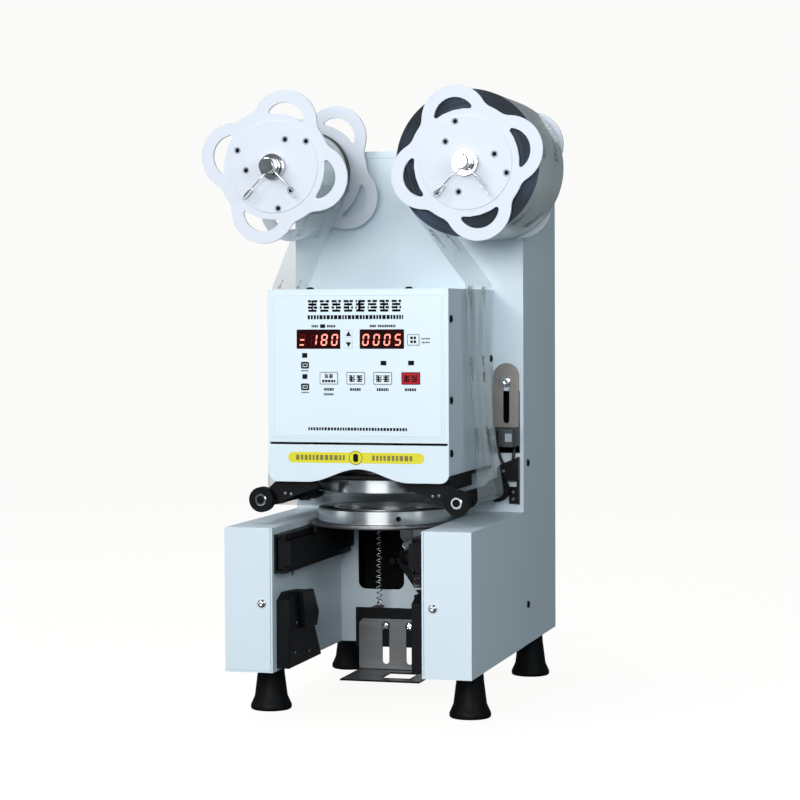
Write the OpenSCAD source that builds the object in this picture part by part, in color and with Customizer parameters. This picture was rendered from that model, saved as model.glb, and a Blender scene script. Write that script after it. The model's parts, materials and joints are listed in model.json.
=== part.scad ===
// Tabletop cup sealing machine: a film-fed heat sealer with a sliding cup tray.
// X to the right, Y to the back, Z up. The origin is on the table, under the middle of the machine.

/* [Casing] */
// Width over the column and the arms
body_w = 222; // [210:1:280]
// Depth from the arm fronts to the column back
body_d = 350; // [330:1:430]
// Height of the column top above the table
body_h = 508.5; // [480:0.5:620]
// Height of the casing's underside above the table
underside_z = 43.5; // [35:0.5:50]
// Thickness of the sheet metal
sheet_t = 1.5; // [1:0.1:2]
// Depth of the column
column_d = 145; // [130:1:180]
// Height of the column's top cap
cap_h = 6.9; // [5:0.1:12]
// Width of each arm
arm_w = 43.8; // [42:0.2:50]
// Height of the arms' top face
arm_top_z = 170; // [169:0.5:172]
// Width of the inner panel's lip that shows beside each arm cover
lip_w = 2; // [1.6:0.1:3]

/* [Feet] */
// Radius of a foot at the table
foot_base_r = 18.5; // [14:0.5:22]
// Radius of a foot at the casing
foot_top_r = 11.7; // [8:0.1:13]
// Distance of the foot centres from the casing's side
foot_inset_x = 18.6; // [18:0.1:21]
// Distance of the front foot centres from the arm fronts
foot_inset_front = 69.8; // [30:0.2:90]
// Distance of the rear foot centres from the column back
foot_inset_rear = 32.3; // [20:0.1:50]

/* [Head] */
// Width of the head
head_w = 164.6; // [160:0.2:170]
// Reach of the head in front of the column
head_reach = 168.4; // [165:0.2:190]
// Height of the head's top face
head_top_z = 377.3; // [370:0.5:400]
// Height of the visor's lower edge
head_bottom_z = 208; // [207:0.2:209]
// Height of the gap between the front panel and the visor
split_z = 242; // [236:0.5:250]
// Height of that gap
split_gap = 2; // [1:0.1:3]
// Height of the arch in the visor
arch_rise = 11.6; // [8:0.2:14]
// Width of the arch in the visor
arch_w = 92; // [80:1:110]
// Radius of the visor's lower corners
visor_corner_r = 8; // [4:0.5:12]

/* [Control panel] */
// Thickness of the control overlay
overlay_t = 0.5; // [0.4:0.1:0.8]
// Height of the display windows
window_h = 16.2; // [12:0.2:20]
// Width of the display windows
window_w = 39.3; // [30:0.1:42]
// Height of the display windows' centre above the gap
window_rise = 91.6; // [80:0.2:100]
// Height of the key row's centre above the gap
key_row_rise = 57.4; // [50:0.2:65]
// Width of a key in the row
key_w = 16.6; // [12:0.2:18]
// Height of a key in the row
key_h = 10.6; // [8:0.2:12]
// Travel of a key
key_travel = 0.5; // [0.3:0.1:0.8]

/* [Sealing station] */
// Reach of the ring axis in front of the column
ring_reach = 80.3; // [78:0.1:84]
// Outer radius of both rings
ring_r = 61.2; // [58:0.1:62]
// Radius of the cup seat bore
seat_r = 42.6; // [38:0.1:46]
// Height of the lower ring
ring_h = 13; // [10:0.5:16]
// Height of the lower ring's top face
ring_top_z = 180.5; // [180:0.1:181]
// Opening between the lower and the upper ring at rest
press_gap = 15.5; // [15:0.1:17]
// Height of the upper ring
upper_ring_h = 12.5; // [10:0.5:14]
// Thickness of the tray plate
tray_t = 3; // [2.5:0.1:3.3]
// Radius of the tray plate's front edge
tray_front_r = 69; // [66:0.5:74]
// Height of the slide rails
rail_h = 34; // [30:0.5:36]
// Width of the slide rails
rail_w = 10.2; // [9.8:0.1:12]
// Clearance of the sliders in their rails
slide_gap = 0.2; // [0.1:0.05:0.4]
// Radius of the press guide rods
guide_r = 5; // [4:0.1:6]
// Radius of the lead screw
screw_r = 6; // [5:0.1:7]
// Radial running clearance of rods, shafts and rollers
run_gap = 0.08; // [0.03:0.01:0.1]

/* [Tray drive] */
// Module of the rack and the pinion
gear_module = 1.5; // [1.5:0.5:1.5]
// Teeth on the pinion
pinion_teeth = 16; // [16:1:16]
// Travel of the tray
tray_travel = 138; // [120:1:140]

/* [Cup stop] */
// Width of the cup stop
stop_w = 75; // [60:1:80]
// Height of the cup stop's vertical plate
stop_h = 48.9; // [44:0.1:52]
// Reach of the cup stop's foot
stop_foot = 62; // [50:1:66]
// Height of the cup stop's underside above the table
stop_z = 22.5; // [20:0.5:24]

/* [Film and reels] */
// Distance of the reel axes from the casing's side
reel_inset = 22.2; // [21.9:0.1:26]
// Drop of the reel axes below the column top
reel_drop = 20.8; // [19.9:0.1:24]
// Radius of the reel shafts
shaft_r = 5; // [4:0.1:6]
// Length of the shaft in front of the front flange
shaft_nose = 23; // [20:0.5:26]
// Distance between the outer faces of a reel's flanges
flange_span = 118; // [116:0.5:118]
// Thickness of a flange
flange_t = 3; // [2.5:0.1:3.5]
// Radius from the reel axis to the lobes' centres
lobe_offset = 40; // [38:0.5:42]
// Radius of a lobe
lobe_r = 30; // [28:0.5:31]
// Radius of the flange between the lobes
waist_r = 53; // [51:0.5:55]
// Radius of the raised face
boss_r = 41.3; // [38:0.1:44]
// Radius of the full film roll
roll_r = 65; // [50:0.5:69]
// Radius of the wound film on the take-up core
core_r = 37.5; // [30:0.5:40]
// Width of the film
film_w = 104; // [96:1:104]
// Thickness of the film as it is modelled
film_t = 0.3; // [0.2:0.05:0.4]

/* [Guide rollers] */
// Distance of the roller axes from the head's side
roller_offset = 7; // [6.6:0.1:9]
// Height of the roller axes above the lower ring
roller_rise = 11.1; // [11:0.1:12]
// Radius of the rubber roller under the film
roller_r = 7.5; // [7:0.1:7.5]
// Radius of the roller's end caps
roller_cap_r = 11.2; // [10:0.1:11.4]
// Radius of the roller's axle
axle_r = 3; // [2.5:0.1:3.5]

/* [Film sensor] */
// Width of the slotted plate
sensor_plate_w = 24; // [20:0.5:24.4]
// Height of the slotted plate
sensor_plate_h = 60; // [56:0.5:64]
// Height of the slotted plate's lower edge above the gap of the head
sensor_rise = 7; // [5:0.5:9]
// Opening of the fork that the film runs through
fork_gap = 5; // [4.4:0.1:5.2]

/* [Hidden] */
$fn = 96;
fine = 32;

// Planes of the casing
side_x = body_w / 2;
front_y = -body_d / 2;
back_y = body_d / 2;
column_y = back_y - column_d;
shell_top_z = body_h - cap_h;
floor_z = underside_z + sheet_t;
arm_inner_x = side_x - arm_w;
head_y = column_y - head_reach;
head_x = head_w / 2;
front_skin_y = head_y + sheet_t;

// Sealing station
ring_y = column_y - ring_reach;
ring_bottom_z = ring_top_z - ring_h;
tray_z = ring_bottom_z - tray_t;
upper_ring_z = ring_top_z + press_gap;
upper_ring_top_z = upper_ring_z + upper_ring_h;
groove_inner_r = seat_r + 4.9;
groove_outer_r = ring_r - 3;
groove_depth = 3;
rail_top_z = tray_z - 0.5;
rail_z = rail_top_z - rail_h;
rail_x = arm_inner_x - rail_w;
rail_wall = 2;
rail_flange = 2.5;
rail_lip = 1.5;
rail_lip_h = 3;
rail_front_y = front_y + 5;
rail_back_y = column_y - 1;
slider_front_y = rail_front_y + 4;
slider_back_y = rail_back_y - 3;
tongue_x = rail_x - 4;
tongue_w = 3.5;

// Head interior
base_t = 3;
base_z = upper_ring_top_z + 2;
base_top_z = base_z + base_t;
base_x = head_x - sheet_t - 0.3;
base_hole_r = ring_r + 2.8;
base_skirt_t = 1.8;
base_skirt_z = base_z - 9.8;
side_skin_z = head_bottom_z + 6.7;
guide_x = head_x - 12.3;
guide_top_z = head_top_z - 47.3;
guide_plate_t = 5;
press_disc_z = upper_ring_top_z + 17.5;
press_disc_t = 5;
press_disc_r = ring_r - 1.2;
yoke_z = press_disc_z + 14;
yoke_t = 10;
post_r = 3.5;
post_offset = ring_r - post_r - 2.2;
heater_r = seat_r + 3.2;
cutter_r = heater_r + 3.2;
cutter_wall = 2.4;

// Tray drive
pitch_r = gear_module * pinion_teeth / 2;
tooth_pitch = PI * gear_module;
tooth_addendum = gear_module;
tooth_dedendum = 1.3 * gear_module;
tooth_tip_w = 0.22 * tooth_pitch;
tooth_root_w = 0.52 * tooth_pitch;
pinion_y = column_y - 147;
pitch_z = rail_z + 8;
pinion_z = pitch_z - pitch_r;
rack_x = tongue_x - 6;
rack_back_teeth = 30;
rack_front_teeth = 2;
pinion_shaft_r = 3;

// Reels and film
reel_x = side_x - reel_inset;
reel_z = body_h - reel_drop;
flange_back_y = column_y - 11;
flange_front_y = flange_back_y - flange_span;
film_front_y = flange_front_y + flange_t + 1;
film_back_y = film_front_y + film_w;
shaft_front_y = flange_front_y - shaft_nose;
reel_gap = 0.6;
collar_r = 11.4;
nose_r = shaft_r + 2;
nose_groove = 1.2;
collar_l = 6;
front_lobe_turn = 15;
rear_lobe_turn = 56;
front_hole_turn_right = 15;
front_hole_turn_left = 66;
fillet_r = 15;

// Guide rollers
roller_x = head_x + roller_offset;
roller_z = ring_top_z + roller_rise;
wrap_r = roller_r + 0.3 + film_t / 2;
roller_front_y = film_front_y - 31.5;
roller_cap_l = 9.5;
arm_plate_t = 3;
arm_plate_y = roller_front_y - 1.5;
rear_plate_y = column_y - 8;

// Film path in the XZ plane, from the full roll round both rollers to the take-up core
function tangent_angle(px, pz, cx, cz, r, turn) =
    atan2(pz - cz, px - cx) + turn * acos(r / norm([px - cx, pz - cz]));
function on_circle(cx, cz, r, a) = [cx + r * cos(a), cz + r * sin(a)];
right_bend = [head_x + 4.2, head_top_z + 5];
left_bend = [-head_x - 10, head_top_z + 3];
right_roll_path_r = roll_r + reel_gap + film_t / 2;
left_roll_path_r = core_r + reel_gap + film_t / 2;
right_leave_a = tangent_angle(right_bend[0], right_bend[1], reel_x, reel_z, right_roll_path_r, -1);
left_leave_a = tangent_angle(left_bend[0], left_bend[1], -reel_x, reel_z, left_roll_path_r, 1);
right_touch_a = tangent_angle(right_bend[0], right_bend[1], roller_x, roller_z, wrap_r, -1);
left_touch_a = tangent_angle(left_bend[0], left_bend[1], -roller_x, roller_z, wrap_r, 1);
wrap_steps = 12;
right_wrap_a = right_touch_a + 90;
left_wrap_a = 270 - left_touch_a;
film_path = concat(
    [on_circle(reel_x, reel_z, right_roll_path_r, right_leave_a), right_bend],
    [for (i = [0:wrap_steps])
        on_circle(roller_x, roller_z, wrap_r, right_touch_a - i * right_wrap_a / wrap_steps)],
    [for (i = [0:wrap_steps])
        on_circle(-roller_x, roller_z, wrap_r, -90 - i * left_wrap_a / wrap_steps)],
    [left_bend, on_circle(-reel_x, reel_z, left_roll_path_r, left_leave_a)]
);
function path_normal(p, i) =
    let (a = p[max(i - 1, 0)], b = p[min(i + 1, len(p) - 1)], d = unit(b - a)) [-d[1], d[0]];
function path_side(p, shift) = [for (i = [0:len(p) - 1]) p[i] + shift * path_normal(p, i)];
function flipped(p) = [for (i = [len(p) - 1:-1:0]) p[i]];

// Film sensor
sensor_z = split_z + sensor_rise;
sensor_x = side_x - 15.9;
sensor_plate_t = 2;
sensor_plate_back_y = column_y - 0.3;
sensor_screw_z = sensor_z + 42.6;
sensor_slot_r = 2.7;
fork_h = 17;
fork_z = sensor_z - fork_h;
fork_mid_z = fork_z + fork_h / 2 + 15;
fork_x = right_bend[0] + (roller_x + wrap_r - right_bend[0])
    * (right_bend[1] - fork_mid_z) / (right_bend[1] - roller_z);
fork_front_y = film_back_y - 7;
fork_left_x = head_x + 2.2;
fork_right_x = fork_x + fork_gap / 2 + 11;
window_x0 = sensor_x - 12.6;
window_x1 = side_x - 3.5;
sensor_window_z = fork_z - 7;
sensor_window_h = 58;

// Cup stop and spring
stop_plate_y = column_y - 41.5;
stop_t = 1.5;
stop_slot_x = 11.5;
stop_slot_w = 6.5;
stop_screw_z = stop_z + 42.5;
stop_slot_h = 39;
carrier_y = stop_plate_y + stop_t + 0.2;
carrier_x = stop_w / 2 + 3.5;
carrier_t = 2;
carrier_z = stop_z + 22.5;
carrier_top_z = stop_z + 59;
spring_x = -23.3;
spring_y = column_y - 22;
spring_r = 2.95;
wire_r = 0.6;
spring_pitch = 5.1;
spring_turns = 13;
hook_h = 4;
hanger_z = carrier_top_z + spring_pitch * spring_turns + 2 * hook_h;
lever_window = [-50, -5];
lever_window_z = 94;
lever_window_h = 66;

// Control panel layout: centre x, centre z, width, height
key_row_z = split_z + key_row_rise;
window_z = split_z + window_rise;
window_x = [-35.2, 22.6];
arrow_x = -7.6;
arrow_rise = 4.6;
arrow_w = 6.4;
arrow_h = 6;
key_hole_gap = 0.2;
KEYS = [
    ["key_up", arrow_x, window_z + arrow_rise, arrow_w, arrow_h],
    ["key_down", arrow_x, window_z - arrow_rise, arrow_w, arrow_h],
    ["key_clear", 51, window_z - 0.7, 10.8, 9.6],
    ["key_mode", -25.8, key_row_z, key_w, key_h],
    ["key_start", -1.2, key_row_z, key_w, key_h],
    ["key_pause", 23.2, key_row_z, key_w, key_h],
    ["key_power", 48.6, key_row_z, key_w, key_h]
];
overlay_x = 78.2;
overlay_z0 = split_z + 5;
overlay_z1 = head_top_z - 3.9;
key_proud = 0.3;
key_pocket = 0.8;
key_cap_t = key_proud + overlay_t + key_pocket - key_travel - 0.1;
key_stem_r = 1.6;
switch_l = 3.6;
board_y = front_skin_y + 9;
board_t = 1.6;
board_x = 68;

// Electrics and motors in the column
motor_r = 18;
motor_l = 62;
bearing_r = 12;
bearing_l = 14;
motor_y = column_y + bearing_l;
motor_bore_l = 10;
bearing_flange_r = 16.5;
supply_w = 100;
supply_d = 90;
supply_h = 48;
inlet_x = 60;
inlet_z = underside_z + 36;
inlet_w = 48;
inlet_h = 28;
inlet_proud = 2.4;
socket_w = 24;
socket_h = 17;
socket_depth = 16;

// Fasteners
screw_head_r = 3.4;
screw_head_h = 2;
screw_shank_r = 1.6;
screw_shank_l = 6;
screw_hole_r = 2;
dome_r = 4;
dome_h = 2.4;
side_screw_z = [underside_z + 38, underside_z + 171.5];
side_screw_y = column_y + 17.2;
head_screw_z = [head_top_z - 26.3, head_top_z - 97, split_z - 8];
head_screw_y = head_y + 7.5;
head_rear_screw = [column_y - 11, head_top_z - 64];
top_screw_x = 45;
top_screw_y = head_y + 7.5;
arm_screw_x = side_x - 34;
arm_screw_z = underside_z + 60.5;
rear_screw_x = side_x - 12;
rear_screw_z = [floor_z + 12, (floor_z + shell_top_z) / 2, shell_top_z - 12];

white = [0.86, 0.9, 0.95];
lilac_white = [0.92, 0.92, 0.97];
black = [0.08, 0.08, 0.09];
steel = [0.72, 0.73, 0.75];
dark_steel = [0.3, 0.3, 0.32];
rubber_black = [0.05, 0.05, 0.06];
brass_yellow = [0.8, 0.66, 0.35];
board_green = [0.1, 0.35, 0.2];
film_green = [0.75, 0.85, 0.82, 0.5];

// Shapes that repeat
module span(x, y, z) {
    translate([x[0], y[0], z[0]]) cube([x[1] - x[0], y[1] - y[0], z[1] - z[0]]);
}

module y_extrude(y0, y1) {
    translate([0, y1, 0]) rotate([90, 0, 0]) linear_extrude(y1 - y0) children();
}

module x_extrude(x0, x1) {
    translate([x0, 0, 0]) rotate([90, 0, 90]) linear_extrude(x1 - x0) children();
}

module y_rod(x, z, r, y0, y1) {
    translate([x, y0, z]) rotate([-90, 0, 0]) cylinder(r = r, h = y1 - y0);
}

module x_rod(y, z, r, x0, x1) {
    translate([x0, y, z]) rotate([0, 90, 0]) cylinder(r = r, h = x1 - x0);
}

module z_rod(x, y, r, z0, z1) {
    translate([x, y, z0]) cylinder(r = r, h = z1 - z0);
}

module z_ring(x, y, outer, inner, z0, z1) {
    difference() {
        z_rod(x, y, outer, z0, z1);
        z_rod(x, y, inner, z0 - 1, z1 + 1);
    }
}

module slot_2d(r, length) {
    translate([0, -length / 2 + r]) circle(r);
    translate([0, length / 2 - r]) circle(r);
    square([2 * r, length - 2 * r], center = true);
}

module rounded_2d(w, h, r) {
    square([w - 2 * r, h], center = true);
    square([w, h - 2 * r], center = true);
    for (x = [-1, 1], y = [-1, 1]) translate([x * (w / 2 - r), y * (h / 2 - r)]) circle(r);
}

// A tube swept along a route, with its frame carried from point to point
function unit(v) = v / norm(v);
function heading(p, i) = unit(p[min(i + 1, len(p) - 1)] - p[max(i - 1, 0)]);
function carried(p, i) =
    let (d = heading(p, i), u = i == 0 ? cross(d, [0.31, 0.17, 1]) : carried(p, i - 1)) unit(u - (u * d) * d);

module tube(route, r, sides) {
    last = len(route) - 1;
    points = [for (i = [0:last])
        let (u = carried(route, i), v = cross(heading(route, i), u))
        for (s = [0:sides - 1]) route[i] + r * (u * cos(360 * s / sides) + v * sin(360 * s / sides))];
    walls = [for (i = [0:last - 1], s = [0:sides - 1])
        let (a = i * sides + s, b = i * sides + (s + 1) % sides)
        for (t = [[a, b, b + sides], [a, b + sides, a + sides]]) t];
    ends = [[for (s = [sides - 1:-1:0]) s], [for (s = [0:sides - 1]) last * sides + s]];
    polyhedron(points, concat(walls, ends), convexity = 10);
}

module both_sides() {
    children();
    mirror([1, 0, 0]) children();
}

// Casing
module side_screw_holes() {
    for (z = side_screw_z) both_sides()
        x_rod(side_screw_y, z, screw_hole_r, side_x - 3, side_x + 1, $fn = fine);
}

module column_shell() {
    color(white) difference() {
        span([-side_x, side_x], [column_y, back_y], [floor_z, shell_top_z]);
        span([sheet_t - side_x, side_x - sheet_t], [column_y + sheet_t, back_y + 1],
            [floor_z - 1, shell_top_z + 1]);
        side_screw_holes();
        both_sides() y_rod(reel_x, reel_z, bearing_r, column_y - 1, column_y + 3);
        span([window_x0, window_x1], [column_y - 1, column_y + 3],
            [sensor_window_z, sensor_window_z + sensor_window_h]);
        translate([(lever_window[0] + lever_window[1]) / 2, 0, lever_window_z + lever_window_h / 2])
            y_extrude(column_y - 1, column_y + 3)
            rounded_2d(lever_window[1] - lever_window[0], lever_window_h, 7, $fn = fine);
        y_rod(sensor_x, sensor_screw_z, screw_shank_r, column_y - 1, column_y + 3, $fn = fine);
    }
}

module column_cap() {
    color(white) difference() {
        span([-side_x, side_x], [column_y, back_y], [shell_top_z, body_h]);
        span([sheet_t - side_x, side_x - sheet_t], [column_y + sheet_t, back_y - sheet_t],
            [shell_top_z - 1, body_h - sheet_t]);
    }
}

module rear_cover() {
    louvre_w = 60;
    louvre_h = 4;
    louvre_count = 7;
    color(white) difference() {
        span([sheet_t - side_x, side_x - sheet_t], [back_y - sheet_t, back_y], [floor_z, shell_top_z]);
        for (i = [0:louvre_count - 1], side = [-1, 1])
            translate([side * 45, 0, shell_top_z - 60 - 12 * i])
            y_extrude(back_y - 3, back_y + 1) rotate(90) slot_2d(louvre_h / 2, louvre_w, $fn = fine);
        for (z = rear_screw_z) both_sides()
            y_rod(rear_screw_x, z, screw_hole_r, back_y - 3, back_y + 1, $fn = fine);
        span([inlet_x - inlet_w / 2 + 3, inlet_x + inlet_w / 2 - 3], [back_y - 3, back_y + 1],
            [inlet_z - inlet_h / 2 + 2, inlet_z + inlet_h / 2 - 2]);
    }
}

module base_plate() {
    color(white) span([-side_x, side_x], [column_y, back_y], [underside_z, floor_z]);
}

module arm_cover() {
    color(white) difference() {
        span([arm_inner_x + lip_w, side_x], [front_y, column_y], [floor_z, arm_top_z]);
        span([arm_inner_x, side_x - sheet_t], [front_y + sheet_t, column_y + 1],
            [floor_z - 1, arm_top_z - sheet_t]);
        y_rod(arm_screw_x, arm_screw_z, screw_hole_r, front_y - 1, front_y + 3, $fn = fine);
    }
}

module arm_cover_left() {
    mirror([1, 0, 0]) arm_cover();
}

module arm_cover_right() {
    arm_cover();
}

module arm_frame() {
    flange_w = 18;
    difference() {
        union() {
            span([arm_inner_x, arm_inner_x + sheet_t], [front_y, column_y], [underside_z, arm_top_z]);
            span([arm_inner_x + sheet_t, side_x], [front_y, column_y], [underside_z, floor_z]);
            span([arm_inner_x + sheet_t, arm_inner_x + flange_w], [front_y + sheet_t, front_y + 2 * sheet_t],
                [floor_z, arm_top_z - 2 * sheet_t]);
        }
        y_rod(arm_screw_x, arm_screw_z, screw_hole_r, front_y, front_y + 5, $fn = fine);
        x_rod(pinion_y, pinion_z, pinion_shaft_r + 1, arm_inner_x - 1, arm_inner_x + 3, $fn = fine);
    }
}

module arm_frames() {
    color(white) both_sides() arm_frame();
}

module slide_rail() {
    inner_top = rail_top_z - rail_flange;
    inner_low = rail_z + rail_flange;
    span([arm_inner_x - rail_wall, arm_inner_x], [rail_front_y, rail_back_y], [rail_z, rail_top_z]);
    span([rail_x, arm_inner_x - rail_wall], [rail_front_y, rail_back_y], [inner_top, rail_top_z]);
    span([rail_x, arm_inner_x - rail_wall], [rail_front_y, rail_back_y], [rail_z, inner_low]);
    span([rail_x, rail_x + rail_lip], [rail_front_y, rail_back_y], [inner_top - rail_lip_h, inner_top]);
    span([rail_x, rail_x + rail_lip], [rail_front_y, rail_back_y], [inner_low, inner_low + rail_lip_h]);
}

module slide_rails() {
    color(black) both_sides() slide_rail();
}

module arm_bracket() {
    plate_t = 5;
    step_t = 4.5;
    face_x = arm_inner_x - plate_t;
    low = floor_z;
    color(black) {
        x_extrude(face_x, arm_inner_x) polygon([
            [front_y + 14, low], [front_y + 100, low], [front_y + 78, low + 32], [front_y + 70, low + 46],
            [front_y + 58, low + 64], [front_y + 34, low + 66], [front_y + 14, low + 60]]);
        x_extrude(face_x - step_t, face_x) polygon([
            [front_y + 46, low + 34], [front_y + 70, low + 32], [front_y + 74, low + 44],
            [front_y + 58, low + 62], [front_y + 38, low + 64]]);
    }
}

module arm_brackets() {
    both_sides() arm_bracket();
}

module foot() {
    rim_h = 4;
    rim_bevel = 1.2;
    neck_h = 0.75 * underside_z;
    rotate_extrude() polygon([
        [0, 0], [foot_base_r - rim_bevel, 0], [foot_base_r, rim_bevel], [foot_base_r, rim_h],
        [foot_base_r - 0.9 * rim_h, 3 * rim_h], [foot_top_r + 0.6, neck_h], [foot_top_r, underside_z],
        [0, underside_z]]);
}

module rubber_feet() {
    color(rubber_black) for (y = [front_y + foot_inset_front, back_y - foot_inset_rear]) both_sides()
        translate([side_x - foot_inset_x, y, 0]) foot();
}

// Head
module head_screw_holes() {
    for (z = head_screw_z) both_sides()
        x_rod(head_screw_y, z, screw_hole_r, head_x - 3, head_x + 1, $fn = fine);
    both_sides()
        x_rod(head_rear_screw[0], head_rear_screw[1], screw_hole_r, head_x - 3, head_x + 1, $fn = fine);
    both_sides() z_rod(top_screw_x, top_screw_y, screw_hole_r, head_top_z - 3, head_top_z + 1, $fn = fine);
}

module head_cover() {
    vent_d = 15;
    vent_h = 9;
    color(white) difference() {
        span([-head_x, head_x], [front_skin_y, column_y], [side_skin_z, head_top_z]);
        span([sheet_t - head_x, head_x - sheet_t], [front_skin_y - 1, column_y + 1],
            [side_skin_z - 1, head_top_z - sheet_t]);
        head_screw_holes();
        span([-head_x - 1, head_x + 1], [column_y - 34 - vent_d / 2, column_y - 34 + vent_d / 2],
            [head_top_z - 80.7 - vent_h / 2, head_top_z - 80.7 + vent_h / 2]);
    }
}

module head_front_panel() {
    color(white) difference() {
        span([-head_x, head_x], [head_y, front_skin_y], [split_z + split_gap / 2, head_top_z]);
        for (x = window_x)
            span([x - window_w / 2, x + window_w / 2], [head_y - 1, front_skin_y + 1],
                [window_z - window_h / 2, window_z + window_h / 2]);
        for (k = KEYS) {
            y_rod(k[1], k[2], key_stem_r + 0.4, head_y - 1, front_skin_y + 1, $fn = fine);
            translate([k[1], 0, k[2]]) y_extrude(head_y - 1, head_y + key_pocket)
                square([k[3] + 2 * key_hole_gap, k[4] + 2 * key_hole_gap], center = true);
        }
    }
}

module control_overlay() {
    color([0.9, 0.93, 0.97]) difference() {
        span([-overlay_x, overlay_x], [head_y - overlay_t, head_y], [overlay_z0, overlay_z1]);
        for (x = window_x)
            span([x - window_w / 2, x + window_w / 2], [head_y - overlay_t - 1, head_y + 1],
                [window_z - window_h / 2, window_z + window_h / 2]);
        for (k = KEYS)
            translate([k[1], 0, k[2]]) y_extrude(head_y - overlay_t - 1, head_y + 1)
                square([k[3] + 2 * key_hole_gap, k[4] + 2 * key_hole_gap], center = true);
    }
}

// The arch blends into the lower edge with half cosine waves
module visor() {
    top = split_z - split_gap / 2;
    arch_steps = 24;
    arch = [for (i = [0:arch_steps])
        [arch_w * (i / arch_steps - 0.5), head_bottom_z + arch_rise * (1 - cos(360 * i / arch_steps)) / 2]];
    color(white) y_extrude(head_y, front_skin_y) difference() {
        union() {
            translate([-head_x, head_bottom_z + visor_corner_r])
                square([head_w, top - head_bottom_z - visor_corner_r]);
            translate([visor_corner_r - head_x, head_bottom_z])
                square([head_w - 2 * visor_corner_r, visor_corner_r]);
            for (x = [-1, 1])
                translate([x * (head_x - visor_corner_r), head_bottom_z + visor_corner_r])
                    circle(visor_corner_r, $fn = fine);
        }
        polygon(concat([[-arch_w / 2, head_bottom_z - 5]], arch, [[arch_w / 2, head_bottom_z - 5]]));
    }
}

module head_base() {
    skirt_front_y = arm_plate_y + arm_plate_t + 0.3;
    skirt_back_y = front_skin_y + 89;
    color(black) difference() {
        union() {
            span([-base_x, base_x], [front_skin_y + 0.5, column_y], [base_z, base_top_z]);
            both_sides() span([base_x - base_skirt_t, base_x], [skirt_front_y, skirt_back_y],
                [base_skirt_z, base_z]);
        }
        z_rod(0, ring_y, base_hole_r, base_z - 1, base_top_z + 1);
    }
}

module press_guides() {
    plate_y = 24;
    color(steel) {
        difference() {
            span([-base_x, base_x], [ring_y - plate_y, column_y], [guide_top_z, guide_top_z + guide_plate_t]);
            z_rod(0, ring_y, screw_r + run_gap, guide_top_z - 1, guide_top_z + guide_plate_t + 1);
        }
        both_sides() z_rod(guide_x, ring_y, guide_r, base_top_z, guide_top_z);
    }
}

module display_windows() {
    color([0.15, 0.02, 0.03]) for (x = window_x)
        span([x - window_w / 2, x + window_w / 2], [head_y - overlay_t, front_skin_y],
            [window_z - window_h / 2, window_z + window_h / 2]);
}

module control_board() {
    module_h = 14;
    switch_w = 5;
    color(board_green) {
        span([-board_x, board_x], [board_y, board_y + board_t], [key_row_z - 14, window_z + 18]);
        for (x = window_x)
            span([x - window_w / 2 + 2, x + window_w / 2 - 2], [front_skin_y, board_y],
                [window_z - module_h / 2, window_z + module_h / 2]);
        for (k = KEYS)
            span([k[1] - switch_w / 2, k[1] + switch_w / 2], [board_y - switch_l, board_y],
                [k[2] - switch_w / 2, k[2] + switch_w / 2]);
    }
}

module key(k) {
    stem_y = board_y - switch_l - key_travel - 0.1;
    cap_y = head_y - overlay_t - key_proud;
    color(k[0] == "key_power" ? [0.75, 0.1, 0.12] : [0.93, 0.95, 0.98]) {
        translate([k[1], 0, k[2]]) y_extrude(cap_y, cap_y + key_cap_t)
            square([k[3], k[4]], center = true);
        y_rod(k[1], k[2], key_stem_r, cap_y + 0.1, stem_y, $fn = fine);
    }
}

module press_motor() {
    can_r = 19;
    can_h = 34;
    gearbox_w = 42;
    gearbox_h = 16;
    z0 = guide_top_z + guide_plate_t;
    color(dark_steel) difference() {
        union() {
            translate([-gearbox_w / 2, ring_y - gearbox_w / 2, z0]) cube([gearbox_w, gearbox_w, gearbox_h]);
            z_rod(0, ring_y, can_r, z0 + gearbox_h, z0 + can_h);
        }
        z_rod(0, ring_y, screw_r + run_gap, z0 - 1, z0 + 8);
    }
}

// Press
module press_yoke() {
    arm_d = 12;
    neck_r = 15;
    boss = guide_r + 3;
    color(steel) difference() {
        union() {
            span([-guide_x, guide_x], [ring_y - arm_d, ring_y + arm_d], [yoke_z, yoke_z + yoke_t]);
            both_sides() z_rod(guide_x, ring_y, boss, yoke_z, yoke_z + yoke_t);
            z_rod(0, ring_y, neck_r, press_disc_z + press_disc_t, yoke_z);
            z_rod(0, ring_y, press_disc_r, press_disc_z, press_disc_z + press_disc_t);
            for (a = [45:90:315])
                z_rod(post_offset * cos(a), ring_y + post_offset * sin(a), post_r,
                    upper_ring_top_z, press_disc_z, $fn = fine);
        }
        both_sides() z_rod(guide_x, ring_y, guide_r + run_gap, yoke_z - 1, yoke_z + yoke_t + 1);
        z_rod(0, ring_y, screw_r + run_gap, press_disc_z + press_disc_t + 1, yoke_z + yoke_t + 1);
    }
}

module upper_ring() {
    wall = 11;
    chamfer = 0.8;
    color(steel) translate([0, ring_y, upper_ring_z]) rotate_extrude() polygon([
        [ring_r - wall, 0], [ring_r - chamfer, 0], [ring_r, chamfer], [ring_r, upper_ring_h - chamfer],
        [ring_r - chamfer, upper_ring_h], [ring_r - wall, upper_ring_h]]);
}

module heater_block() {
    lip_h = 2;
    lip_w = 5;
    die_z = upper_ring_z + 2.4;
    color(brass_yellow) difference() {
        z_rod(0, ring_y, heater_r, die_z, press_disc_z);
        z_rod(0, ring_y, heater_r - lip_w, die_z - 1, die_z + lip_h);
    }
}

module cutter_ring() {
    color(dark_steel) z_ring(0, ring_y, cutter_r, cutter_r - cutter_wall, upper_ring_z + 1.4, press_disc_z);
}

module press_screw() {
    screw_low = press_disc_z + press_disc_t + 3;
    color(steel) z_rod(0, ring_y, screw_r, screw_low, guide_top_z + guide_plate_t + 7);
}

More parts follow.
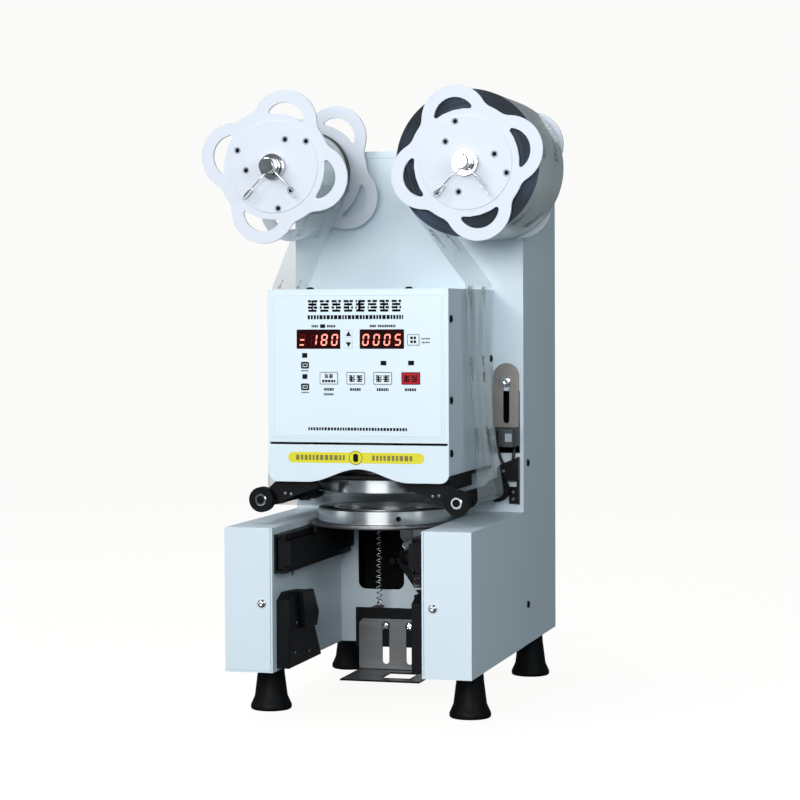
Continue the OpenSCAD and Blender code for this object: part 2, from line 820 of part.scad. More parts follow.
// Tray
module tray_plate() {
    side = arm_inner_x - 0.4;
    color(steel) translate([0, 0, tray_z]) linear_extrude(tray_t) difference() {
        union() {
            intersection() {
                translate([0, ring_y]) circle(tray_front_r);
                translate([-side, ring_y - tray_front_r - 1]) square([2 * side, tray_front_r + 1]);
            }
            translate([-side, ring_y]) square([2 * side, column_y - 4 - ring_y]);
        }
        translate([0, ring_y]) circle(seat_r + 2);
    }
}

module lower_ring() {
    chamfer = 0.8;
    color(steel) translate([0, ring_y, ring_bottom_z]) rotate_extrude() polygon([
        [seat_r, 0], [ring_r - chamfer, 0], [ring_r, chamfer], [ring_r, ring_h - chamfer],
        [ring_r - chamfer, ring_h], [groove_outer_r, ring_h], [groove_outer_r, ring_h - groove_depth],
        [groove_inner_r, ring_h - groove_depth], [groove_inner_r, ring_h], [seat_r, ring_h]]);
}

module seal_gasket() {
    gasket_h = 2.2;
    gap = 0.4;
    low = ring_top_z - groove_depth;
    color(rubber_black) z_ring(0, ring_y, groove_outer_r - gap, groove_inner_r + gap, low, low + gasket_h);
}

module tray_slider() {
    bar_x0 = rail_x + rail_lip + slide_gap;
    bar_x1 = arm_inner_x - rail_wall - slide_gap;
    bar_z0 = rail_z + rail_flange + slide_gap;
    bar_z1 = rail_top_z - rail_flange - slide_gap;
    tongue_z0 = bar_z0 + rail_lip_h + slide_gap;
    tongue_z1 = bar_z1 - rail_lip_h - slide_gap;
    y_range = [slider_front_y, slider_back_y];
    span([bar_x0, bar_x1], y_range, [bar_z0, bar_z1]);
    span([tongue_x, bar_x0], y_range, [tongue_z0, tongue_z1]);
    span([tongue_x, tongue_x + tongue_w], [ring_y - 40, slider_back_y], [tongue_z0, tray_z]);
}

module tray_sliders() {
    color(black) both_sides() tray_slider();
}

module tooth_2d() {
    polygon([
        [-tooth_root_w / 2, -tooth_dedendum], [tooth_root_w / 2, -tooth_dedendum],
        [tooth_tip_w / 2, tooth_addendum], [-tooth_tip_w / 2, tooth_addendum]]);
}

// A gap of the rack stands over the pinion's top tooth
module tray_rack() {
    bar_h = 4;
    front = -(rack_front_teeth + 0.5) * tooth_pitch;
    back = (rack_back_teeth + 0.5) * tooth_pitch;
    color(dark_steel) translate([0, pinion_y, pitch_z]) x_extrude(rack_x, tongue_x) {
        translate([front, tooth_dedendum - 0.01]) square([back - front, bar_h]);
        for (i = [-rack_front_teeth:rack_back_teeth - 1])
            translate([(i + 0.5) * tooth_pitch, 0]) rotate(180) tooth_2d();
    }
}

module tray_pinion() {
    root_r = pitch_r - tooth_dedendum;
    color(dark_steel) {
        translate([0, pinion_y, pinion_z]) x_extrude(rack_x, tongue_x) {
            circle(root_r + 0.05);
            for (i = [0:pinion_teeth - 1])
                rotate(360 * i / pinion_teeth) translate([0, pitch_r]) tooth_2d();
        }
        x_rod(pinion_y, pinion_z, pinion_shaft_r, tongue_x, arm_inner_x + 12);
    }
}

module tray_motor() {
    can_r = 15;
    x0 = arm_inner_x + sheet_t;
    x1 = side_x - sheet_t - 3;
    color(dark_steel) difference() {
        x_rod(pinion_y, pinion_z, can_r, x0, x1);
        x_rod(pinion_y, pinion_z, pinion_shaft_r + run_gap, x0 - 1, arm_inner_x + 13);
    }
}

// Cup stop
module cup_stop() {
    slot_mid_z = stop_screw_z - stop_slot_h / 2 + stop_slot_w / 2;
    corner_r = 6;
    color(steel) {
        difference() {
            y_extrude(stop_plate_y, stop_plate_y + stop_t) {
                translate([0, stop_z + stop_h / 2]) rounded_2d(stop_w, stop_h, corner_r);
                translate([-stop_w / 2, stop_z]) square([stop_w, corner_r + 1]);
            }
            for (x = [-1, 1]) translate([x * stop_slot_x, 0, slot_mid_z])
                y_extrude(stop_plate_y - 1, stop_plate_y + 3)
                    slot_2d(stop_slot_w / 2, stop_slot_h, $fn = fine);
        }
        difference() {
            span([-stop_w / 2, stop_w / 2], [stop_plate_y - stop_foot, stop_plate_y],
                [stop_z, stop_z + stop_t]);
            span([-3, 24], [stop_plate_y - stop_foot + 16, stop_plate_y - 14], [stop_z - 1, stop_z + 3]);
        }
    }
}

module stop_carrier() {
    cheek_h = 16;
    tab_w = 8;
    hanger_y = column_y + sheet_t;
    color(black) {
        difference() {
            span([-carrier_x, carrier_x], [carrier_y, carrier_y + carrier_t], [carrier_z, carrier_top_z]);
            for (x = [-1, 1])
                y_rod(x * stop_slot_x, stop_screw_z, screw_shank_r, carrier_y - 1, carrier_y + 4, $fn = fine);
        }
        both_sides() span([carrier_x - carrier_t, carrier_x], [carrier_y + carrier_t, column_y],
            [carrier_z, carrier_z + cheek_h]);
        span([spring_x - tab_w / 2, spring_x + tab_w / 2], [carrier_y + carrier_t, spring_y + 3],
            [carrier_top_z - carrier_t, carrier_top_z]);
        span([spring_x - tab_w / 2, spring_x + tab_w / 2], [spring_y - 3, hanger_y],
            [hanger_z, hanger_z + carrier_t]);
        span([spring_x - tab_w, spring_x + tab_w], [hanger_y, hanger_y + carrier_t],
            [hanger_z, lever_window_z + lever_window_h + 12]);
    }
}

module stop_spring() {
    coil_r = spring_r - wire_r;
    steps = 12 * spring_turns;
    coil_z = carrier_top_z + hook_h;
    coil = [for (i = [0:steps])
        let (a = 360 * spring_turns * i / steps)
        [coil_r * cos(a), coil_r * sin(a), coil_z + spring_pitch * spring_turns * i / steps]];
    low_hook = [[coil_r, -2 * wire_r, carrier_top_z], [coil_r, -2 * wire_r, coil_z - 2 * wire_r]];
    high_hook = [[coil_r, 2 * wire_r, hanger_z - hook_h + 2 * wire_r], [coil_r, 2 * wire_r, hanger_z]];
    color(steel) translate([spring_x, spring_y, 0]) tube(concat(low_hook, coil, high_hook), wire_r, 6);
}

// Reels
module lobe_fillet(a, side) {
    reach = waist_r + fillet_r;
    turn = acos((lobe_offset ^ 2 + reach ^ 2 - (lobe_r + fillet_r) ^ 2) / (2 * lobe_offset * reach));
    f = reach * [cos(a + side * turn), sin(a + side * turn)];
    c = lobe_offset * [cos(a), sin(a)];
    difference() {
        polygon([[0, 0], c, f]);
        translate(f) circle(fillet_r, $fn = fine);
    }
}

module flange_outline() {
    circle(waist_r);
    for (a = [0:90:270]) {
        translate(lobe_offset * [cos(a), sin(a)]) circle(lobe_r);
        for (side = [-1, 1]) lobe_fillet(a, side);
    }
}

module lobe_slot(a) {
    slot_r = lobe_r - 11;
    ring_in = boss_r + 6.2;
    rotate(a) offset(r = 2, $fn = fine) offset(delta = -2) difference() {
        translate([lobe_offset, 0]) circle(slot_r);
        circle(ring_in);
    }
}

module flange(turn, hole_turn) {
    inner_hole_r = 26.4;
    outer_hole_r = 37.6;
    hole_step = 30;
    difference() {
        union() {
            linear_extrude(flange_t) rotate(turn) difference() {
                flange_outline();
                for (a = [0:90:270]) lobe_slot(a);
            }
            translate([0, 0, flange_t]) cylinder(r = boss_r, h = 0.8);
        }
        translate([0, 0, -1]) cylinder(r = shaft_r, h = flange_t + 3);
        for (i = [0:2]) rotate(hole_turn + 120 * i) {
            translate([inner_hole_r, 0, -1]) cylinder(r = 2, h = flange_t + 3, $fn = fine);
            rotate(-hole_step) translate([outer_hole_r, 0, -1])
                cylinder(r = 2, h = flange_t + 3, $fn = fine);
        }
    }
}

module reel_flanges(side) {
    color(lilac_white) {
        translate([side * reel_x, flange_front_y + flange_t, reel_z]) rotate([90, 0, 0])
            flange(side > 0 ? front_lobe_turn : 180 - front_lobe_turn,
                side > 0 ? front_hole_turn_right : front_hole_turn_left);
        translate([side * reel_x, flange_back_y - flange_t, reel_z]) rotate([-90, 0, 0])
            flange(side > 0 ? rear_lobe_turn : -rear_lobe_turn, rear_lobe_turn);
    }
}

// The shaft's neck holds a sprung wire pin with two legs
module hitch_pin(side) {
    neck = nose_r - nose_groove;
    pin_y = flange_front_y - collar_l - 4;
    loop_r = neck + wire_r - 0.05;
    leg_l = 24;
    translate([side * reel_x, pin_y, reel_z]) rotate([90, 0, 0]) {
        rotate(-52) rotate_extrude(angle = 284) translate([loop_r, 0]) circle(wire_r, $fn = 16);
        for (leg = [[-52, 1], [232, 1.25]])
            rotate(leg[0]) translate([loop_r, 0, 0]) rotate(leg[0] < 0 ? 6 : -6)
                rotate([90, 0, 90]) cylinder(r = wire_r, h = leg_l * leg[1], $fn = 16);
    }
}

module reel_shaft(side, back_l) {
    neck = nose_r - nose_groove;
    neck_y = flange_front_y - collar_l - 5;
    chamfer = 1;
    color(steel) {
        difference() {
            union() {
                y_rod(side * reel_x, reel_z, shaft_r, shaft_front_y, column_y + back_l);
                y_rod(side * reel_x, reel_z, collar_r, flange_front_y - 0.8 - collar_l, flange_front_y - 0.8);
                y_rod(side * reel_x, reel_z, nose_r, shaft_front_y + chamfer,
                    flange_front_y - 0.8 - collar_l);
                translate([side * reel_x, shaft_front_y + chamfer, reel_z]) rotate([90, 0, 0])
                    cylinder(r1 = nose_r, r2 = nose_r - chamfer, h = chamfer);
            }
            difference() {
                y_rod(side * reel_x, reel_z, nose_r + 3, neck_y - 1.5, neck_y + 2);
                y_rod(side * reel_x, reel_z, neck, neck_y - 3, neck_y + 4);
            }
        }
        hitch_pin(side);
    }
}

module film_core_left() {
    color(film_green) difference() {
        y_rod(-reel_x, reel_z, core_r, film_front_y, film_back_y);
        y_rod(-reel_x, reel_z, shaft_r, film_front_y - 1, film_back_y + 1);
    }
}

module film_roll_right() {
    color([0.12, 0.14, 0.2]) difference() {
        y_rod(reel_x, reel_z, roll_r, film_front_y, film_back_y);
        y_rod(reel_x, reel_z, shaft_r, film_front_y - 1, film_back_y + 1);
    }
}

module reel_bearings() {
    flange_l = 3;
    color(dark_steel) both_sides() difference() {
        union() {
            y_rod(reel_x, reel_z, bearing_r, column_y, column_y + bearing_l);
            y_rod(reel_x, reel_z, bearing_flange_r, column_y - flange_l, column_y);
        }
        y_rod(reel_x, reel_z, shaft_r + run_gap, column_y - flange_l - 1, column_y + bearing_l + 1);
    }
}

module take_up_motor() {
    color(dark_steel) difference() {
        y_rod(-reel_x, reel_z, motor_r, motor_y, motor_y + motor_l);
        y_rod(-reel_x, reel_z, shaft_r + run_gap, motor_y - 1, motor_y + motor_bore_l);
    }
}

// Film
module film_web() {
    color(film_green) y_extrude(film_front_y, film_back_y)
        polygon(concat(path_side(film_path, film_t / 2), flipped(path_side(film_path, -film_t / 2))));
}

module guide_roller(side) {
    collar_y = film_back_y + 3;
    cap_y = roller_front_y - 4 - roller_cap_l;
    socket_l = 4;
    color(rubber_black) difference() {
        union() {
            y_rod(side * roller_x, roller_z, roller_cap_r, cap_y, cap_y + roller_cap_l);
            y_rod(side * roller_x, roller_z, roller_r, film_front_y - 6, collar_y);
            y_rod(side * roller_x, roller_z, roller_cap_r, collar_y, collar_y + 8);
            y_rod(side * roller_x, roller_z, axle_r, cap_y + roller_cap_l, rear_plate_y + 3);
        }
        y_rod(side * roller_x, roller_z, axle_r - 0.5, cap_y - 1, cap_y + socket_l, $fn = 6);
    }
}

module roller_bracket() {
    plate = arm_plate_y;
    inner_x = head_x - 42;
    rim = roller_cap_r - 2.7;
    color(black) {
        difference() {
            union() {
                y_extrude(plate, plate + arm_plate_t) polygon([
                    [inner_x, head_bottom_z - 1.4], [inner_x, head_bottom_z - 6],
                    [roller_x, roller_z - rim + 1.5],
                    [roller_x + rim - 2, roller_z], [head_x - 2, head_bottom_z - 1.4]]);
                y_rod(roller_x, roller_z, rim, plate, plate + arm_plate_t);
            }
            y_rod(roller_x, roller_z, axle_r + run_gap, plate - 1, plate + arm_plate_t + 1);
        }
        span([head_x - 12, head_x - 4], [plate, plate + arm_plate_t], [head_bottom_z - 1.4, base_z]);
    }
}

module roller_rear_bracket() {
    plate_t = 2.5;
    wall_t = 2;
    post_x = side_x - 5.5;
    low = roller_z - 14;
    top = roller_z + 30;
    tab_z = roller_z + 8;
    link_w = 10;
    difference() {
        union() {
            y_extrude(rear_plate_y, rear_plate_y + plate_t) {
                polygon([
                    [post_x + wall_t, tab_z], [head_x + 7, tab_z], [head_x + 5, tab_z + 3],
                    [head_x + 5, tab_z + 12], [head_x + 8, tab_z + 15], [post_x + wall_t, top]]);
                translate([roller_x - link_w / 2, roller_z - 6]) square([link_w, tab_z - roller_z + 7]);
            }
            span([post_x, post_x + wall_t], [rear_plate_y + plate_t, column_y], [low, top]);
            span([post_x - 8, post_x], [column_y - wall_t, column_y], [low, low + 16]);
        }
        y_rod(roller_x, roller_z, axle_r + run_gap, rear_plate_y - 1, rear_plate_y + 4);
    }
}

module roller_brackets() {
    both_sides() roller_bracket();
    color(black) both_sides() roller_rear_bracket();
}

// Film sensor
module sensor_plate() {
    top_r = sensor_plate_w / 2;
    slot_low = sensor_z + 4;
    slot_l = sensor_screw_z + sensor_slot_r + 1.5 - slot_low;
    color([0.42, 0.4, 0.38]) difference() {
        y_extrude(sensor_plate_back_y - sensor_plate_t, sensor_plate_back_y) {
            translate([sensor_x - top_r, sensor_z]) square([sensor_plate_w, sensor_plate_h - top_r]);
            translate([sensor_x, sensor_z + sensor_plate_h - top_r]) circle(top_r);
        }
        translate([sensor_x, 0, slot_low + slot_l / 2])
            y_extrude(sensor_plate_back_y - 4, sensor_plate_back_y + 1)
                slot_2d(sensor_slot_r, slot_l, $fn = fine);
    }
}

module film_sensor() {
    back_y = sensor_plate_back_y;
    color([0.2, 0.21, 0.23]) {
        span([fork_left_x, fork_right_x], [film_back_y + 3, back_y], [fork_z, sensor_z]);
        span([fork_left_x, fork_x - fork_gap / 2], [fork_front_y, film_back_y + 3], [fork_z, sensor_z]);
        span([fork_x + fork_gap / 2, fork_right_x], [fork_front_y, film_back_y + 3], [fork_z, sensor_z]);
    }
}

// The cable's points: the share of the way across from the fork to its window, then y and z
cable_route = [
    [0, 25, 232], [0, 25, 228.5], [0.06, 25.4, 224], [0.17, 26.3, 219], [0.32, 27, 215], [0.55, 27.1, 212.5],
    [0.77, 27.1, 213.5], [0.93, 27.1, 217.5], [0.99, 27.2, 223], [1, 28, 228.2], [1, 31, 231], [1, 37, 231.5]
];
cable_r = 1.5;
cable_x0 = fork_left_x + 3.5;
cable_x1 = window_x1 - 5.2;
cable_shift = [cable_x0, column_y - 30, sensor_z - 249];

module sensor_cable() {
    across = cable_x1 - cable_x0;
    color(rubber_black)
        tube([for (p = cable_route) [p.x * across, p.y, p.z] + cable_shift], cable_r, 8);
}

// Electrics
module power_supply() {
    color(steel) span([-supply_w / 2 - 30, supply_w / 2 - 30], [back_y - supply_d - 12, back_y - 12],
        [floor_z, floor_z + supply_h]);
}

module power_inlet() {
    body_l = 26;
    color(black) difference() {
        union() {
            translate([inlet_x, 0, inlet_z]) y_extrude(back_y, back_y + inlet_proud)
                rounded_2d(inlet_w, inlet_h, 3, $fn = fine);
            span([inlet_x - socket_w / 2 - 2, inlet_x + socket_w / 2 + 2], [back_y - body_l, back_y],
                [inlet_z - socket_h / 2 - 2, inlet_z + socket_h / 2 + 2]);
        }
        span([inlet_x - socket_w / 2, inlet_x + socket_w / 2],
            [back_y + inlet_proud - socket_depth, back_y + 5],
            [inlet_z - socket_h / 2, inlet_z + socket_h / 2]);
    }
}

// Fasteners: a low head outside, a shank through the sheet
module pan_screw() {
    rotate_extrude($fn = fine) polygon([
        [0, screw_head_h], [screw_head_r * 0.75, screw_head_h], [screw_head_r, screw_head_h * 0.4],
        [screw_head_r, 0], [screw_shank_r, 0], [screw_shank_r, -screw_shank_l], [0, -screw_shank_l]]);
}

module dome_screw(r, h, shank_l) {
    rotate_extrude($fn = fine) polygon(concat(
        [for (i = [0:6]) [r * sin(15 * i), h * cos(15 * i)]],
        [[screw_shank_r, 0], [screw_shank_r, -shank_l], [0, -shank_l]]));
}

module screws_black() {
    color(black) {
        both_sides() {
            for (z = side_screw_z) translate([side_x, side_screw_y, z]) rotate([0, 90, 0]) pan_screw();
            for (z = head_screw_z) translate([head_x, head_screw_y, z]) rotate([0, 90, 0]) pan_screw();
            translate([head_x, head_rear_screw[0], head_rear_screw[1]]) rotate([0, 90, 0]) pan_screw();
            translate([top_screw_x, top_screw_y, head_top_z]) pan_screw();
            for (z = rear_screw_z) translate([rear_screw_x, back_y, z]) rotate([-90, 0, 0]) pan_screw();
        }
    }
}

module screws_chrome() {
    color(steel) {
        both_sides() translate([arm_screw_x, front_y, arm_screw_z]) rotate([90, 0, 0])
            dome_screw(dome_r, dome_h, screw_shank_l);
        for (x = [-1, 1]) translate([x * stop_slot_x, stop_plate_y - 0.1, stop_screw_z]) rotate([90, 0, 0])
            dome_screw(dome_r + 0.4, dome_h, screw_shank_l);
        translate([sensor_x, sensor_plate_back_y - sensor_plate_t - 0.1, sensor_screw_z]) rotate([90, 0, 0])
            dome_screw(dome_r + 0.6, dome_h, screw_shank_l);
    }
}

column_shell();
column_cap();
rear_cover();
base_plate();
arm_cover_left();
arm_cover_right();
arm_frames();
slide_rails();
arm_brackets();
rubber_feet();
head_cover();
head_front_panel();
control_overlay();
visor();
head_base();
press_guides();
display_windows();
control_board();
press_motor();
tray_motor();
take_up_motor();
reel_bearings();
roller_brackets();
sensor_cable();
stop_carrier();
stop_spring();
power_supply();
power_inlet();
screws_black();
screws_chrome();
film_web();
tray_plate();
lower_ring();
seal_gasket();
tray_sliders();
tray_rack();
tray_pinion();
press_yoke();
upper_ring();
heater_block();
cutter_ring();
press_screw();
reel_shaft(-1, bearing_l + motor_bore_l - 1);  // reel_shaft_left
reel_shaft(1, bearing_l + 4);  // reel_shaft_right
reel_flanges(-1);  // reel_flanges_left
reel_flanges(1);  // reel_flanges_right
film_core_left();
film_roll_right();
guide_roller(-1);  // guide_roller_left
guide_roller(1);  // guide_roller_right
sensor_plate();
film_sensor();
cup_stop();
key(KEYS[0]);  // key_up
key(KEYS[1]);  // key_down
key(KEYS[2]);  // key_clear
key(KEYS[3]);  // key_mode
key(KEYS[4]);  // key_start
key(KEYS[5]);  // key_pause
key(KEYS[6]);  // key_power
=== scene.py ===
import bpy
import bmesh
import json
import math
import random
from mathutils import Matrix, Vector


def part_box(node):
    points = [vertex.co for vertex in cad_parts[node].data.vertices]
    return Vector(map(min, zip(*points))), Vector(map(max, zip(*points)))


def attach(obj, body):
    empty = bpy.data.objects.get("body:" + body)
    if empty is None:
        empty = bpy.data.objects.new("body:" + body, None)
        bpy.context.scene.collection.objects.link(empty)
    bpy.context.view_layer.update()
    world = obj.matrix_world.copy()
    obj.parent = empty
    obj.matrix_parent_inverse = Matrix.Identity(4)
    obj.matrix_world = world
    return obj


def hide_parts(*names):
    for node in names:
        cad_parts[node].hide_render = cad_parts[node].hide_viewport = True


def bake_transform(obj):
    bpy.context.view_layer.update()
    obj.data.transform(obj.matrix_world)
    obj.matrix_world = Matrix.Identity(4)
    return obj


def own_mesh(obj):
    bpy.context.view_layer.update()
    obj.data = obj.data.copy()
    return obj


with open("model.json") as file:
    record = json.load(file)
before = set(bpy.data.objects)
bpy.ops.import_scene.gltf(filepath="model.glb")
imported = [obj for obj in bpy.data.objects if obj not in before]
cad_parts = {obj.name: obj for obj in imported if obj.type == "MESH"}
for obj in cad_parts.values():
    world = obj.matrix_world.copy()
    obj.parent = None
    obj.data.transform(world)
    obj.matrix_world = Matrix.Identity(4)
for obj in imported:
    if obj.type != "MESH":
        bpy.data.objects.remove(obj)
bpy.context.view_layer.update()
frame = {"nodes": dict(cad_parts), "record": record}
NODES = frame["nodes"]
MM = 0.001
random.seed(11)

# Places that part.scad gives, in millimetres
REEL_X, REEL_Z = 88.8, 487.7
ROLLER_X, ROLLER_Z = 89.3, 191.6
RING_Y, RING_R = -50.3, 61.2
ROLL_R, CORE_R, BORE_R = 65, 37.5, 5
FILM_Y0, FILM_Y1 = -95, 9
BRACKET_X = 55.2

SIDES = {-1: "left", 1: "right"}
TO_FRONT = (0, -1, 0)


def new_object(name, data):
    made = bpy.data.objects.new(name, data)
    bpy.context.scene.collection.objects.link(made)
    return made


def on_circle(centre, r, a):
    """The point of a circle at an angle, in radians."""
    return centre[0] + r * math.cos(a), centre[1] + r * math.sin(a)


def around(steps):
    """The angles of a full turn in equal steps."""
    return [2 * math.pi * k / steps for k in range(steps)]


# Camera, lights and floor
def make_camera():
    """The photo's viewpoint, as it was fitted to the casing's corners."""
    azimuth, pitch, roll = (math.radians(turn) for turn in (15.56, 2.21, -0.26))
    level = math.cos(pitch)
    forward = Vector((-math.sin(azimuth) * level, math.cos(azimuth) * level, -math.sin(pitch)))
    right = forward.cross(Vector((0, 0, 1))).normalized()
    up = right.cross(forward)
    turned_right = math.cos(roll) * right + math.sin(roll) * up
    turned_up = math.cos(roll) * up - math.sin(roll) * right
    data = bpy.data.cameras.new("photo_camera")
    data.lens = 104.37
    data.sensor_width = 36
    data.clip_end = 30
    camera = new_object("photo_camera", data)
    turn = Matrix((turned_right, turned_up, -forward)).transposed().to_4x4()
    camera.matrix_world = Matrix.Translation((0.57911, -2.07937, 0.35839)) @ turn
    bpy.context.scene.camera = camera


def facing(name, data, place, target):
    """A light or a card, turned towards the target."""
    made = new_object(name, data)
    made.location = place
    made.rotation_euler = (Vector(target) - Vector(place)).to_track_quat("-Z", "Y").to_euler()
    return made


def area_light(name, place, target, size, power, colour=(1, 1, 1)):
    data = bpy.data.lights.new(name, "AREA")
    data.shape = "RECTANGLE"
    data.size, data.size_y = size
    data.energy = power
    data.color = colour
    facing(name, data, place, target)


def glowing(name, grey, colour, strength):
    """A matt material for the studio, which gives off an even light."""
    return Finish(name, (grey, grey, grey), 0.9, Specular_IOR_Level=0, Emission_Color=(*colour, 1),
                  Emission_Strength=strength).material


def bridge(built, rings):
    """Four-sided faces from each closed ring of points to the next."""
    for low, high in zip(rings, rings[1:]):
        for k in range(len(low)):
            n = (k + 1) % len(low)
            built.faces.new((low[k], low[n], high[n], high[k]))


def studio_bowl():
    """A round floor that curves up into a wall. It is pale from every side, and doesn't light the object."""
    radius, bend, height = 4.2, 1.2, 4.5
    bend_steps, sides = 10, 64
    profile = [(0.0005, 0), (radius - bend, 0)]
    for i in range(1, bend_steps + 1):
        angle = math.radians(90 * i / bend_steps)
        profile.append((radius - bend + bend * math.sin(angle), bend * (1 - math.cos(angle))))
    profile.append((radius, height))
    built = bmesh.new()
    bridge(built, [[built.verts.new((*on_circle((0, 0), r, a), z)) for a in around(sides)]
                   for r, z in profile])
    mesh = bpy.data.meshes.new("studio_bowl")
    built.to_mesh(mesh)
    built.free()
    mesh.shade_smooth()
    mesh.materials.append(glowing("studio_white", 0.1, (1, 1, 0.985), 0.93))
    bowl = new_object("studio_bowl", mesh)
    bowl.visible_diffuse = False
    bowl.visible_glossy = False


def softbox_card(name, place, target, size, strength):
    """A bright card that only shows as a reflection."""
    w, h = size[0] / 2, size[1] / 2
    mesh = bpy.data.meshes.new(name)
    mesh.from_pydata([(-w, -h, 0), (w, -h, 0), (w, h, 0), (-w, h, 0)], [], [(0, 1, 2, 3)])
    mesh.materials.append(glowing(name, 0, (0.94, 0.98, 1), strength))
    card = facing(name, mesh, place, target)
    card.visible_camera = False
    card.visible_diffuse = False
    card.visible_shadow = False
    card.visible_transmission = False


def make_studio():
    world = bpy.data.worlds.new("studio")
    world.use_nodes = True
    background = world.node_tree.nodes["Background"]
    background.inputs["Color"].default_value = (0.8, 0.92, 1, 1)
    background.inputs["Strength"].default_value = 0.16
    bpy.context.scene.world = world
    bpy.context.scene.view_settings.view_transform = "Standard"
    studio_bowl()
    area_light("key", (-1.2, -2.2, 1.75), (0, 0, 0.3), (1.3, 0.9), 28)
    area_light("front_fill", (0.15, -2.7, 0.85), (0, 0, 0.35), (1.5, 0.6), 40)
    area_light("side_fill", (1.3, -1.1, 0.9), (0.05, 0, 0.25), (0.9, 0.9), 8.5, (0.86, 0.95, 1))
    area_light("top", (-0.5, 0.1, 2.3), (0, 0, 0.3), (1.2, 1.2), 18)
    softbox_card("front_card", (0.1, -3.2, 0.4), (0, 0, 0.25), (2.0, 1.5), 1.15)
    softbox_card("left_card", (-2.6, -1.3, 0.4), (0, 0, 0.25), (0.9, 1.4), 1.3)
    softbox_card("right_card", (2.7, -0.9, 0.4), (0, 0, 0.25), (0.6, 1.4), 1.0)


# Materials: every texture is worked out from the place on the object, in metres
class Finish:
    """A material and its nodes. Each call adds one effect to it."""

    def __init__(self, name, colour, roughness, metallic=0.0, **sockets):
        self.material = bpy.data.materials.new(name)
        self.material.use_nodes = True
        self.tree = self.material.node_tree
        self.shader = self.tree.nodes["Principled BSDF"]
        self.fill(self.shader, {"Base Color": (*colour, 1), "Roughness": roughness, "Metallic": metallic})
        self.fill(self.shader, {socket.replace("_", " "): value for socket, value in sockets.items()})
        self.colour = colour
        self.place = self.tree.nodes.new("ShaderNodeTexCoord").outputs["Object"]

    def fill(self, node, inputs):
        """Sets a node's inputs, each to a value or to another node's output."""
        for key, value in inputs.items():
            if isinstance(value, bpy.types.NodeSocket):
                self.tree.links.new(value, node.inputs[key])
            else:
                node.inputs[key].default_value = value

    def node(self, kind, inputs, **settings):
        """Adds a node, and returns its outputs."""
        made = self.tree.nodes.new(kind)
        for key, value in settings.items():
            setattr(made, key, value)
        self.fill(made, inputs)
        return made.outputs

    def noise(self, scale, detail=3.0, stretch=(1, 1, 1), place=None):
        mapped = self.node("ShaderNodeMapping", {"Scale": stretch, "Vector": place or self.place})
        inputs = {"Scale": scale, "Detail": detail, "Vector": mapped["Vector"]}
        return self.node("ShaderNodeTexNoise", inputs)["Fac"]

    def around(self, x, z, axis="Z"):
        """The distance from an axis along Z or Y, and the place along it, for turned and wound surfaces."""
        centre, flat = ((x, z, 0), (1, 1, 0)) if axis == "Z" else ((x, 0, z), (1, 0, 1))
        level = self.node("ShaderNodeVectorMath", {0: self.place, 1: centre}, operation="SUBTRACT")[0]
        level = self.node("ShaderNodeVectorMath", {0: level, 1: flat}, operation="MULTIPLY")[0]
        radius = self.node("ShaderNodeVectorMath", {0: level}, operation="LENGTH")["Value"]
        along = self.node("ShaderNodeSeparateXYZ", {0: self.place})[axis]
        return self.node("ShaderNodeCombineXYZ", {"X": radius, "Y": along})[0]

    def tint(self, factor, dark, light, low=0.3, high=0.7):
        """The base colour, from dark to light as the factor goes from low to high."""
        ramp = self.tree.nodes.new("ShaderNodeValToRGB")
        for element, position, colour in zip(ramp.color_ramp.elements, (low, high), (dark, light)):
            element.position = position
            element.color = (*colour, 1)
        self.fill(ramp, {"Fac": factor})
        self.fill(self.shader, {"Base Color": ramp.outputs["Color"]})

    def shade(self, factor, spread):
        """The base colour, a little darker and lighter over the surface."""
        self.tint(factor, [c * (1 - spread) for c in self.colour],
                  [min(1, c * (1 + spread)) for c in self.colour])

    def rough(self, factor, low, high):
        spread = self.node("ShaderNodeMapRange", {"To Min": low, "To Max": high, "Value": factor})
        self.fill(self.shader, {"Roughness": spread["Result"]})

    def bump(self, factor, depth_mm):
        made = self.node("ShaderNodeBump", {"Distance": depth_mm * MM, "Strength": 1.0, "Height": factor})
        self.fill(self.shader, {"Normal": made["Normal"]})


finishes = {}


def powder_coat(name, colour, roughness, grain_mm, depth_mm, spread=0.02, specular=0.5):
    """A painted or moulded finish with a fine grain."""
    made = Finish(name, colour, roughness, Specular_IOR_Level=specular)
    made.shade(made.noise(7, 2), spread)
    made.rough(made.noise(60, 3), roughness - 0.05, roughness + 0.05)
    made.bump(made.noise(1 / (grain_mm * MM), 2), depth_mm)
    finishes[name] = made.material
    return made


def brushed(name, colour, roughness, stretch, depth_mm, place=None, spread=0.1):
    """A bare metal with streaks. They run along the axes that stretch makes short."""
    made = Finish(name, colour, roughness, 1.0)
    streaks = made.noise(420, 4, stretch, place and place(made))
    made.shade(streaks, spread)
    made.rough(streaks, roughness - 0.08, roughness + 0.1)
    made.bump(streaks, depth_mm)
    finishes[name] = made.material
    return made


